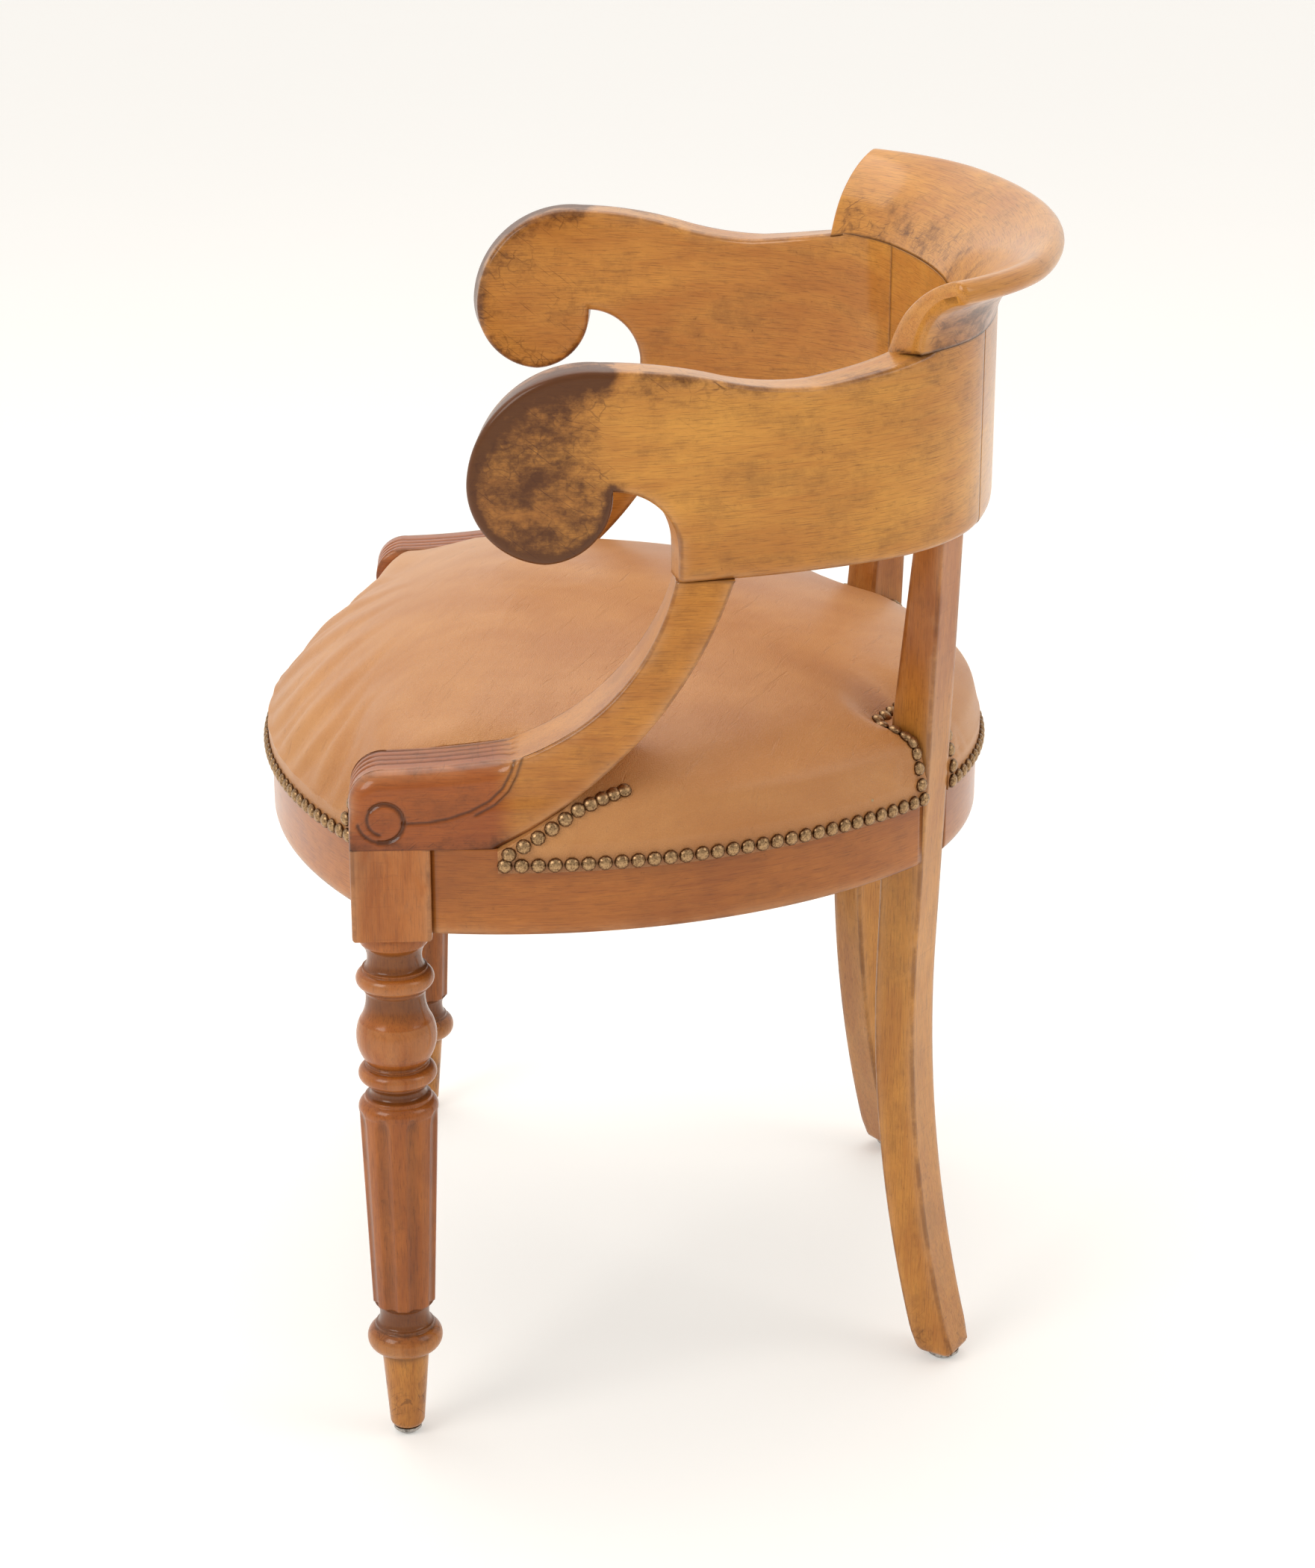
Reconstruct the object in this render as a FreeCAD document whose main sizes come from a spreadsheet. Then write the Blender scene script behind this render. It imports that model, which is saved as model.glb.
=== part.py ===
import FreeCAD, Part
import collections
import math
import os
import Sketcher

# Gondola armchair: a horseshoe wall of scrolled arms and back under a flared crest rail, carried by two
# sabre rear legs and two swept arm supports, on a bowed seat frame with turned and fluted front legs.
# The chair faces -Y and stands on z = 0. +X is the sitter's left.

# Driving sizes in millimetres and degrees: alias, number and what it measures.
SIZES = (
    ("rail_top", 423, "height of the seat rails and of the front leg blocks"),
    ("rail_height", 57, "depth of a seat rail from top to bottom"),
    ("rail_thickness", 28, "thickness of a seat rail in plan"),
    ("front_rail_bow", 67, "how far the front rail bows ahead of its ends"),
    ("side_rail_bow", 41, "how far a side rail bows outward from its chord"),
    ("back_rail_bow", 37, "how far the back rail bows behind its ends"),
    ("rail_inset", 2.5, "rail face behind the faces of the front leg block"),
    ("front_leg_spread", 250, "front leg axis from the middle of the chair"),
    ("front_leg_lead", 174, "front leg axis ahead of the origin"),
    ("block_width", 50, "square block at the head of a front leg"),
    ("block_height", 61, "height of that block"),
    ("foot_radius", 11, "front foot at the glide"),
    ("taper_radius", 15.5, "front foot under the lower ring"),
    ("taper_height", 58, "height of the tapered front foot"),
    ("ring_radius", 24.8, "turned rings at their widest"),
    ("ring_root", 18.5, "turned rings where they meet the necks"),
    ("lower_ring_height", 22, "height of the ring above the foot"),
    ("ring_height", 16, "height of each ring beside the vase"),
    ("lower_neck_height", 14, "hollow neck under the flutes"),
    ("upper_neck_height", 11, "hollow neck over the flutes"),
    ("neck_hollow", 3, "depth of the hollow necks"),
    ("flute_foot_radius", 20.3, "fluted shaft at its lower end"),
    ("flute_head_radius", 25.5, "fluted shaft at its upper end"),
    ("flute_shoulder", 3, "chamfer at the head of the fluted shaft"),
    ("flute_count", 8, "flutes round the shaft"),
    ("flute_cutter", 30, "radius of a flute's hollow at its head"),
    ("flute_depth", 2.8, "depth of a flute"),
    ("flute_stop", 14, "start of a flute's rounded end below the shaft's head"),
    ("flute_tip", 11, "length of that rounded end"),
    ("flute_run_out", 6, "how far the flutes run out below the shaft"),
    ("flute_dish", 0.5, "how much deeper the rounded end of a flute starts"),
    ("vase_radius", 25.6, "turned vase at its belly"),
    ("vase_root", 19.8, "turned vase at the ends of its belly"),
    ("vase_height", 40, "height of the belly"),
    ("vase_neck_height", 12, "neck between the belly and the upper ring"),
    ("collar_radius", 20, "collar under the block"),
    ("collar_height", 8, "height of that collar"),
    ("collar_neck_height", 16, "hollow between the upper ring and the collar"),
    ("rear_foot_x", 164.7, "rear foot from the middle of the chair"),
    ("rear_foot_y", 194.7, "rear foot behind the origin"),
    ("rear_leg_angle", 33, "turn of a rear leg about its upright axis, from straight back"),
    ("rear_leg_width", 32, "rear leg across its outer face"),
    ("rear_foot_depth", 28, "rear leg from front to back at the floor"),
    ("knee_height", 300, "where the sabre curve ends"),
    ("knee_set", 36.5, "leg middle ahead of the foot at the knee"),
    ("knee_depth", 29, "rear leg from front to back at the knee"),
    ("sabre_rise", 12, "hollow of the sabre curve"),
    ("hip_set", 32.5, "leg middle ahead of the foot at the rail top"),
    ("hip_depth", 31, "rear leg from front to back at the rail top"),
    ("stile_set", 21, "stile middle ahead of the foot under the wall"),
    ("stile_depth", 20, "stile from front to back under the wall"),
    ("wall_bottom", 591, "lower edge of the arms and back"),
    ("crest_joint", 717, "level joint between the back and the crest rail"),
    ("wall_thickness", 30, "thickness of the arms and back"),
    ("wall_back", 227, "outer face of the back behind the origin"),
    ("back_radius", 450, "outer radius of the back"),
    ("back_half", 145, "joint of the back and an arm from the middle of the chair, on the outer face"),
    ("corner_radius", 150, "outer radius of the corners"),
    ("corner_angle", 63.7, "angle at which the corner turns into the arm"),
    ("side_radius", 450, "outer radius of the arms"),
    ("scroll_reach", 121, "front of the arm scroll ahead of the origin"),
    ("scroll_nose", 657, "height of that front"),
    ("scroll_chin_y", 76, "lowest point of the scroll ahead of the origin"),
    ("scroll_chin", 605, "height of that lowest point"),
    ("scroll_crown_y", 42, "highest point of the scroll ahead of the origin"),
    ("scroll_crown", 723, "height of that highest point"),
    ("scroll_brow_rise", 21.7, "bulge of the scroll over its front"),
    ("scroll_chin_rise", 14.5, "bulge of the scroll under its front"),
    ("scroll_lobe_rise", 12.5, "bulge of the scroll beside the notch"),
    ("notch_y", 36, "corner of the notch ahead of the origin"),
    ("notch_top", 649, "height of that corner"),
    ("notch_foot", 609, "height where the notch turns down"),
    ("notch_rise", 11.7, "hollow of the notch"),
    ("arm_slope_y", 30, "where the arm's back slope turns, behind the origin"),
    ("arm_slope", 713, "height of that turn"),
    ("arm_dip_y", 88, "lowest point of the arm's top edge behind the origin"),
    ("arm_dip", 706, "height of that lowest point"),
    ("arm_edge_rise", 2.2, "bow of each stretch of the arm's top edge"),
    ("crest_end_y", 153, "end of the crest rail at the joint, behind the origin"),
    ("crest_end_rake", 26, "how far that end leans back by its top"),
    ("crest_height", 51, "height of the crest rail"),
    ("crest_overhang", 44, "lip of the crest rail past the wall"),
    ("crest_flare", 9, "hollow of the flare under the lip"),
    ("lip_thickness", 12, "thickness of the lip"),
    ("lip_nose", 5.5, "rounding of the lip's edge"),
    ("crest_end_angle", 75, "angle up to which the crest follows the corner before its end is cut"),
    ("support_foot", 91, "arm support along the block and rail"),
    ("support_head_y", 3, "front of the arm support under the arm, behind the origin"),
    ("support_head", 36, "arm support from front to back under the arm"),
    ("support_head_inset", 1.5, "arm support inside the arm's outer face"),
    ("support_head_thickness", 27, "arm support across its head"),
    ("support_back_rise", 21.6, "bulge of the support's rear edge"),
    ("support_throat_y", 99, "throat of the support ahead of the origin"),
    ("support_throat", 479, "height of the throat"),
    ("support_throat_rise", 20, "hollow of the support's front edge"),
    ("support_brow_y", 176, "where the carved front starts to round over, ahead of the origin"),
    ("support_brow", 472.5, "height of that point"),
    ("support_brow_rise", 1.2, "hollow of the top of the carved front"),
    ("support_lip", 447, "height where the carved front becomes upright"),
    ("support_nose_rise", 8.5, "bulge of the carved front"),
    ("support_shoulder", 474, "height from which the support grows thinner"),
    ("support_thin_rise", 6, "hollow of the support's thinning"),
    ("dowel_radius", 4.5, "every dowel"),
    ("dowel_grip", 20, "length of a dowel in each piece"),
    ("dowel_slack", 0.1, "gap round and past each dowel"),
    ("dowel_pitch", 24, "upright distance between two dowels of a joint"),
    ("dowel_setback", 8, "front rail dowels behind the rail's outer corner"),
    ("support_dowel_in", 10, "support dowel from the leg axis towards the middle"),
    ("crest_dowel_angle", 11, "angle between the crest rail's dowels"),
    ("crest_dowel_set", 11, "crest rail's dowels inside the outer face of the back"),
    ("crest_dowel_grip", 12, "length of those dowels in the crest rail"),
    ("leg_dowel_grip", 15, "length of a rail dowel in a rear leg"),
    ("glide_height", 5, "foot glides"),
    ("front_glide_radius", 9.2, "front foot glides"),
    ("rear_glide_radius", 11, "rear foot glides"),
    ("glide_edge", 2, "upright edge of a glide"),
    ("glide_bevel", 3.4, "width of the bevel round the flat underside of a glide"),
    ("corner_block_leg", 62, "corner blocks along each rail"),
    ("corner_block_height", 34, "height of the corner blocks"),
    ("heel_block_reach", 42, "rear corner blocks along each rail"),
    ("heel_block_depth", 19, "rear corner blocks behind the leg"),
    ("strap_width", 50, "webbing straps"),
    ("strap_thickness", 1.5, "webbing straps"),
    ("strap_pitch", 62, "webbing straps from one to the next"),
    ("cross_strap_middle", 15, "middle of the crosswise straps behind the origin"),
    ("cloth_thickness", 0.8, "base cloth and bottom cloth"),
    ("cloth_margin", 9, "cloths inside the outer faces of the rails"),
    ("seat_middle", 85, "crown of the seat ahead of the origin"),
    ("seat_crown", 517, "height of the stuffing at its crown"),
    ("soft_gap", 0.4, "clearance of the soft pieces"),
    ("leather_thickness", 1.8, "leather cover"),
    ("leather_skirt", 15, "leather below the rail top"),
    ("nail_radius", 4.9, "head of a brass nail"),
    ("nail_height", 3.4, "height of that head"),
    ("nail_crown", 2.3, "radius of the head's flat crown"),
    ("nail_pitch", 10.4, "brass nails from one to the next"),
    ("nail_drop", 9.5, "nail row below the rail top"),
    ("tack_radius", 3.5, "tacks under the rails"),
    ("tack_height", 1.2, "height of a tack head"),
    ("tack_pitch", 48, "tacks from one to the next"),
    ("cutter_room", 120, "how far sawn outlines run past the wood"),
)

# The stuffing's crown: share of the rise, then the share of the seat's plan left at the sides and the front.
CROWN = (
    (0.0, 1.0, 1.0),
    (0.28, 0.98, 0.87),
    (0.53, 0.86, 0.715),
    (0.74, 0.64, 0.535),
    (0.9, 0.38, 0.33),
    (1.0, 0.13, 0.12),
)

SIDES = (("left", 1), ("right", -1))
NAIL_SIDES = 6

doc = FreeCAD.newDocument("gondola_chair")


class Size:
    """A number with the sheet expression that gives it, so that what is worked out from sizes stays bound."""

    def __init__(self, value, text):
        self.value = float(value)
        self.text = text

    def __add__(self, other):
        other = as_size(other)
        return Size(self.value + other.value, f"({self.text} + {other.text})")

    def __sub__(self, other):
        other = as_size(other)
        return Size(self.value - other.value, f"({self.text} - {other.text})")

    def __mul__(self, other):
        other = as_size(other)
        return Size(self.value * other.value, f"({self.text} * {other.text})")

    def __truediv__(self, other):
        other = as_size(other)
        return Size(self.value / other.value, f"({self.text} / {other.text})")

    def __radd__(self, other):
        return as_size(other) + self

    def __rsub__(self, other):
        return as_size(other) - self

    def __rmul__(self, other):
        return as_size(other) * self

    def __rtruediv__(self, other):
        return as_size(other) / self

    def __neg__(self):
        return 0 - self


def as_size(number):
    return number if isinstance(number, Size) else Size(number, repr(float(number)))


def root(size):
    return Size(math.sqrt(size.value), f"sqrt({size.text})")


def sine(degrees):
    return Size(math.sin(math.radians(degrees.value)), f"sin({degrees.text} * 1 deg)")


def cosine(degrees):
    return Size(math.cos(math.radians(degrees.value)), f"cos({degrees.text} * 1 deg)")


def arcsine(share):
    return Size(math.degrees(math.asin(share.value)), f"(asin({share.text}) / 1 deg)")


def arctangent(share):
    return Size(math.degrees(math.atan(share.value)), f"(atan({share.text}) / 1 deg)")


def fill_sheet():
    """The driving sizes as a sheet, and each one as a bound Size under its alias."""
    sheet = doc.addObject("Spreadsheet::Sheet", "Sizes")
    bound = {}
    for row, (alias, number, meaning) in enumerate(SIZES, start=1):
        sheet.set(f"A{row}", meaning)
        sheet.set(f"B{row}", str(number))
        sheet.setAlias(f"B{row}", alias)
        bound[alias] = Size(number, f"Sizes.{alias}")
    doc.recompute()
    return collections.namedtuple("Bound", bound)(**bound)


S = fill_sheet()


# Sketches, features and their bindings.

Corner = collections.namedtuple("Corner", "u v rise radius turn", defaults=(None, None, 1))


def bind(holder, name, size):
    holder.setExpression(name, as_size(size).text)


def bow_radius(start, end, rise):
    """Radius of the arc that rises this far from its chord."""
    across = end.u - as_size(start.u)
    along = end.v - as_size(start.v)
    return (across * across + along * along) / (8 * rise) + rise / 2


def arc_between(start, end, radius, turn):
    """The arc of under a half circle from start to end that turns left (1) or right (-1)."""
    chord = end - start
    height = math.sqrt(radius * radius - chord.Length * chord.Length / 4)
    leftward = FreeCAD.Vector(-chord.y, chord.x, 0).normalize()
    centre = start + chord * 0.5 + leftward * (turn * height)
    first, last = (start, end) if turn > 0 else (end, start)
    circle = Part.Circle(centre, FreeCAD.Vector(0, 0, 1), radius)
    angles = [math.atan2(point.y - centre.y, point.x - centre.x) for point in (first, last)]
    return Part.ArcOfCircle(circle, angles[0], angles[1])


def place_point(sketch, geometry, point, corner):
    """Ties one point of the sketch to its two bound coordinates."""
    for kind, axis, size in (("DistanceX", -2, corner.u), ("DistanceY", -1, corner.v)):
        size = as_size(size)
        if size.text == "0.0":
            sketch.addConstraint(Sketcher.Constraint("PointOnObject", geometry, point, axis))
            continue
        number = sketch.addConstraint(Sketcher.Constraint(kind, -1, 1, geometry, point, size.value))
        bind(sketch, f"Constraints[{number}]", size)


def add_path(sketch, corners, closed=True):
    """Lines and arcs through the corners, each corner and radius bound to its size."""
    first = sketch.GeometryCount
    count = len(corners) if closed else len(corners) - 1
    ends = []
    for index in range(count):
        here = corners[index]
        there = corners[(index + 1) % len(corners)]
        start = FreeCAD.Vector(as_size(here.u).value, as_size(here.v).value, 0)
        end = FreeCAD.Vector(as_size(there.u).value, as_size(there.v).value, 0)
        if here.rise is None and here.radius is None:
            sketch.addGeometry(Part.LineSegment(start, end))
            ends.append((1, 2))
            continue
        radius = here.radius if here.rise is None else bow_radius(here, there, here.rise)
        sketch.addGeometry(arc_between(start, end, radius.value, here.turn))
        number = sketch.addConstraint(Sketcher.Constraint("Radius", first + index, radius.value))
        bind(sketch, f"Constraints[{number}]", radius)
        ends.append((1, 2) if here.turn > 0 else (2, 1))
    for index in range(count if closed else count - 1):
        follower = (index + 1) % count
        here = (first + index, ends[index][1])
        there = (first + follower, ends[follower][0])
        sketch.addConstraint(Sketcher.Constraint("Coincident", *here, *there))
    for index in range(count):
        place_point(sketch, first + index, ends[index][0], corners[index])
    if not closed:
        place_point(sketch, first + count - 1, ends[-1][1], corners[-1])


def sketch_on(body, name, role, paths, lift=0, closed=True):
    """A sketch on one of the body's own origin planes, lifted along its normal."""
    sketch = body.newObject("Sketcher::SketchObject", name)
    plane = next(feature for feature in body.Origin.OriginFeatures if feature.Role == role)
    sketch.AttachmentSupport = [(plane, "")]
    sketch.MapMode = "FlatFace"
    bind(sketch, "AttachmentOffset.Base.z", lift)
    for corners in paths:
        add_path(sketch, corners, closed)
    return sketch


def new_body(label):
    body = doc.addObject("PartDesign::Body", label)
    body.Label = label
    return body


def pad(body, sketch, length, symmetric=False):
    feature = body.newObject("PartDesign::Pad", "pad")
    feature.Profile = sketch
    feature.SideType = "Symmetric" if symmetric else "One side"
    bind(feature, "Length", length)
    return feature


def pocket(body, sketch, upward=False, symmetric=False):
    """Cuts the sketch right through the body, below the sketch unless upward or both ways."""
    feature = body.newObject("PartDesign::Pocket", "cut")
    feature.Profile = sketch
    feature.Type = "ThroughAll"
    feature.SideType = "Symmetric" if symmetric else "One side"
    feature.Reversed = upward
    return feature


def revolve(body, sketch):
    feature = body.newObject("PartDesign::Revolution", "turning")
    feature.Profile = sketch
    feature.ReferenceAxis = (sketch, ["V_Axis"])
    feature.Angle = 360
    return feature


def loft(body, sketches, ruled):
    feature = body.newObject("PartDesign::AdditiveLoft", "loft")
    feature.Profile = sketches[0]
    feature.Sections = sketches[1:]
    feature.Ruled = ruled
    return feature


def mirror(body, features):
    """Repeats the features on the other side of the chair's middle plane."""
    feature = body.newObject("PartDesign::Mirrored", "mirrored")
    feature.Originals = features
    feature.MirrorPlane = (next(f for f in body.Origin.OriginFeatures if f.Role == "YZ_Plane"), [""])
    body.Tip = feature
    return feature


def cone_cut(body, across, low, low_radius, high_radius, height):
    """A cone taken out of the body, from a level upward, with its foot on the X axis."""
    cone = body.newObject("PartDesign::SubtractiveCone", "flute")
    bind(cone, "Placement.Base.x", across)
    bind(cone, "Placement.Base.z", low)
    bind(cone, "Radius1", low_radius)
    bind(cone, "Radius2", high_radius)
    bind(cone, "Height", height)
    return cone


def repeat_round(body, feature, count):
    """Repeats a feature round the body's upright axis."""
    pattern = body.newObject("PartDesign::PolarPattern", "repeated")
    pattern.Originals = [feature]
    pattern.Axis = (next(f for f in body.Origin.OriginFeatures if f.Role == "Z_Axis"), [""])
    pattern.Angle = 360
    bind(pattern, "Occurrences", count)
    body.Tip = pattern


def place(thing, x, y, z, turn=None):
    """Sets the thing at a bound place, turned about its upright axis."""
    turn = as_size(0 if turn is None else turn)
    spot = FreeCAD.Vector(as_size(x).value, as_size(y).value, as_size(z).value)
    thing.Placement = FreeCAD.Placement(spot, FreeCAD.Rotation(FreeCAD.Vector(0, 0, 1), turn.value))
    bind(thing, "Placement.Base.x", x)
    bind(thing, "Placement.Base.y", y)
    bind(thing, "Placement.Base.z", z)
    if turn.text != "0.0":
        bind(thing, "Placement.Rotation.Angle", turn)


# Levels and places that several pieces share.

RAIL_BOTTOM = S.rail_top - S.rail_height
BLOCK_FRONT = -(S.front_leg_lead + S.block_width / 2)
BLOCK_BACK = S.block_width / 2 - S.front_leg_lead
BLOCK_INNER = S.front_leg_spread - S.block_width / 2
BLOCK_OUTER = S.front_leg_spread + S.block_width / 2
CREST_TOP = S.crest_joint + S.crest_height
BACK_TURN = arcsine(S.back_half / S.back_radius)


def leg_point(side, set_in, across):
    """Plan point of a rear leg: set_in ahead of its foot, and across towards the chair's front."""
    turn = S.rear_leg_angle
    x = S.rear_foot_x - set_in * sine(turn) + across * cosine(turn)
    y = S.rear_foot_y - set_in * cosine(turn) - across * sine(turn)
    return side * x, y


def wall_point(side, angle, inset):
    """Plan point on the corner arc of the horseshoe wall at an angle from straight back."""
    back_middle = S.wall_back - S.back_radius
    x = (S.back_radius - S.corner_radius) * sine(BACK_TURN)
    y = back_middle + (S.back_radius - S.corner_radius) * cosine(BACK_TURN)
    radius = S.corner_radius - inset
    return side * (x + radius * sine(angle)), y + radius * cosine(angle)


def side_middle():
    """Plan centre of an arm's arc, for the arm on the left."""
    x, y = wall_point(1, S.corner_angle, S.corner_radius)
    reach = S.corner_radius - S.side_radius
    return x + reach * sine(S.corner_angle), y + reach * cosine(S.corner_angle)


def arm_x(y, inset):
    """Distance of the arm's face from the chair's middle plane at a given y."""
    x_middle, y_middle = side_middle()
    radius = S.side_radius - inset
    return x_middle + root(radius * radius - (y - y_middle) * (y - y_middle))


def seat_corners(scale=1, front=1, margin=0):
    """Outer plan of the seat frame, drawn in towards the seat's middle, with its front drawn in further."""
    spread = 1 - margin / S.front_leg_spread
    left_hip = leg_point(1, S.hip_set - S.hip_depth / 2 + S.rail_inset, S.rear_leg_width / 2)
    left_heel = leg_point(1, S.hip_set - S.hip_depth / 2 + S.rail_inset, -S.rear_leg_width / 2)
    front_y = BLOCK_FRONT + S.rail_inset
    side_x = BLOCK_OUTER - S.rail_inset

    def drawn(x, y, rise, share):
        y_in = (y + S.seat_middle) * share * spread - S.seat_middle
        return Corner(x * scale * spread, y_in, rise)

    front_rise = S.front_rail_bow * front * spread
    side_rise = S.side_rail_bow * scale * spread
    back_rise = S.back_rail_bow * scale * spread
    return [
        drawn(-BLOCK_INNER, front_y, front_rise, front),
        drawn(BLOCK_INNER, front_y, None, front),
        drawn(side_x, BLOCK_BACK, side_rise, front),
        drawn(left_hip[0], left_hip[1], None, scale),
        drawn(left_heel[0], left_heel[1], back_rise, scale),
        drawn(-left_heel[0], left_heel[1], None, scale),
        drawn(-left_hip[0], left_hip[1], side_rise, scale),
        drawn(-side_x, BLOCK_BACK, None, front),
    ]


# Front legs.


def leg_profile():
    """Half outline of a turned front leg, from the glide up to the block."""
    foot = S.glide_height
    lower_ring = foot + S.taper_height
    lower_neck = lower_ring + S.lower_ring_height
    flute_foot = lower_neck + S.lower_neck_height
    block = S.rail_top - S.block_height
    collar = block - S.collar_height
    upper_ring_top = collar - S.collar_neck_height
    upper_ring = upper_ring_top - S.ring_height
    belly_top = upper_ring - S.vase_neck_height
    belly = belly_top - S.vase_height
    middle_ring = belly - S.ring_height
    flute_head = middle_ring - S.upper_neck_height
    ring_bulge = S.ring_radius - S.ring_root
    shoulder_radius = S.flute_head_radius - S.flute_shoulder
    corners = [
        Corner(0, foot),
        Corner(S.foot_radius, foot),
        Corner(S.taper_radius, lower_ring),
        Corner(S.ring_root, lower_ring, ring_bulge),
        Corner(S.ring_root, lower_neck, S.neck_hollow, None, -1),
        Corner(S.flute_foot_radius, flute_foot),
        Corner(S.flute_head_radius, flute_head),
        Corner(shoulder_radius, flute_head + S.flute_shoulder, S.neck_hollow, None, -1),
        Corner(S.ring_root, middle_ring, ring_bulge),
        Corner(S.ring_root, belly),
        Corner(S.vase_root, belly, S.vase_radius - S.vase_root),
        Corner(S.vase_root, belly_top, S.neck_hollow / 2, None, -1),
        Corner(S.ring_root, upper_ring, ring_bulge),
        Corner(S.ring_root, upper_ring_top, S.neck_hollow, None, -1),
        Corner(S.collar_radius, collar),
        Corner(S.collar_radius, block),
        Corner(0, block),
    ]
    return corners, flute_foot, flute_head, block


def front_leg(name, side):
    body = new_body(f"front_leg_{name}_blank")
    corners, flute_foot, flute_head, block = leg_profile()
    revolve(body, sketch_on(body, "profile", "XZ_Plane", [corners]))
    half = S.block_width / 2
    square = [Corner(-half, -half), Corner(half, -half), Corner(half, half), Corner(-half, half)]
    pad(body, sketch_on(body, "block", "XY_Plane", [square], block), S.block_height)
    foot_cutter = S.flute_cutter * S.flute_foot_radius / S.flute_head_radius
    stop = flute_head - S.flute_stop
    stop_share = (stop - flute_foot) / (flute_head - flute_foot)
    stop_radius = S.flute_foot_radius + (S.flute_head_radius - S.flute_foot_radius) * stop_share
    stop_cutter = foot_cutter + (S.flute_cutter - foot_cutter) * stop_share
    stop_across = stop_radius + stop_cutter - S.flute_depth
    foot_across = S.flute_foot_radius + foot_cutter - S.flute_depth
    low = flute_foot - S.flute_run_out
    high = stop + S.flute_dish
    lean = (stop_across - foot_across) / (high - low)
    hollow = cone_cut(body, foot_across, low, foot_cutter, stop_cutter, (high - low) * root(1 + lean * lean))
    hollow.Placement.Rotation = FreeCAD.Rotation(FreeCAD.Vector(0, 1, 0), arctangent(lean).value)
    bind(hollow, "Placement.Rotation.Angle", arctangent(lean))
    repeat_round(body, hollow, S.flute_count)
    depth = S.flute_depth + S.flute_dish
    tip_cutter = stop_cutter + S.flute_dish
    tip = cone_cut(body, stop_across, stop, tip_cutter, tip_cutter - 2 * depth, 2 * S.flute_tip)
    repeat_round(body, tip, S.flute_count)
    place(body, side * S.front_leg_spread, -S.front_leg_lead, 0)
    return body


# Rear legs.


def rear_leg(name, side):
    """Sabre leg and stile sawn from one board, turned to face along the seat's corner."""
    body = new_body(f"rear_leg_{name}_blank")
    half_foot = S.rear_foot_depth / 2
    half_knee = S.knee_depth / 2
    half_hip = S.hip_depth / 2
    half_stile = S.stile_depth / 2
    corners = [
        Corner(-half_foot, S.glide_height),
        Corner(half_foot, S.glide_height, S.sabre_rise, None, -1),
        Corner(half_knee - S.knee_set, S.knee_height),
        Corner(half_hip - S.hip_set, S.rail_top),
        Corner(half_stile - S.stile_set, S.wall_bottom),
        Corner(-half_stile - S.stile_set, S.wall_bottom),
        Corner(-half_hip - S.hip_set, S.rail_top),
        Corner(-half_knee - S.knee_set, S.knee_height, S.sabre_rise),
    ]
    pad(body, sketch_on(body, "sabre", "XZ_Plane", [corners]), S.rear_leg_width, symmetric=True)
    place(body, side * S.rear_foot_x, S.rear_foot_y, 0, 90 - side * S.rear_leg_angle)
    return body


# Seat frame.


def rail(label, first, last, inward_first, inward_last, bow):
    """A bowed rail between two ends, sawn to the same bow inside and out."""
    body = new_body(f"{label}_blank")
    corners = [
        Corner(first.u, first.v, bow),
        Corner(last.u, last.v),
        Corner(last.u + inward_last[0], last.v + inward_last[1], bow, None, -1),
        Corner(first.u + inward_first[0], first.v + inward_first[1]),
    ]
    pad(body, sketch_on(body, "plan", "XY_Plane", [corners], RAIL_BOTTOM), S.rail_height)
    return body


def leg_inward(side):
    """Step through a rail's thickness along the side face of a rear leg."""
    step = S.rail_thickness
    return -side * step * sine(S.rear_leg_angle), -step * cosine(S.rear_leg_angle)


def seat_rails():
    """The four rails by name, each between two corners of the seat's plan."""
    outer = seat_corners()
    step = S.rail_thickness
    ends = {
        "front_rail": (outer[0], outer[1], (0, step), (0, step)),
        "side_rail_left": (outer[2], outer[3], (-step, 0), leg_inward(1)),
        "back_rail": (outer[4], outer[5], leg_inward(1), leg_inward(-1)),
        "side_rail_right": (outer[6], outer[7], leg_inward(-1), (step, 0)),
    }
    return {label: rail(label, *corners, corners[0].rise) for label, corners in ends.items()}


# Arms, back and crest rail.


def arm_outline():
    """Side view of what is sawn off an arm: scroll, notch and top edge, from the front lower corner."""
    edge = S.arm_edge_rise
    beyond = -(S.scroll_reach + S.cutter_room)
    above = CREST_TOP + S.cutter_room
    below = S.wall_bottom - S.cutter_room
    behind = S.wall_back + S.cutter_room
    return [
        Corner(S.support_head_y, below),
        Corner(S.support_head_y, S.notch_foot, S.notch_rise),
        Corner(-S.notch_y, S.notch_top, S.scroll_lobe_rise, None, -1),
        Corner(-S.scroll_chin_y, S.scroll_chin, S.scroll_chin_rise, None, -1),
        Corner(-S.scroll_reach, S.scroll_nose, S.scroll_brow_rise, None, -1),
        Corner(-S.scroll_crown_y, S.scroll_crown, edge, None, -1),
        Corner(S.arm_slope_y, S.arm_slope, edge),
        Corner(S.arm_dip_y, S.arm_dip, edge),
        Corner(S.crest_end_y, S.crest_joint),
        Corner(behind, S.crest_joint),
        Corner(behind, above),
        Corner(beyond, above),
        Corner(beyond, below),
    ]


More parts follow.
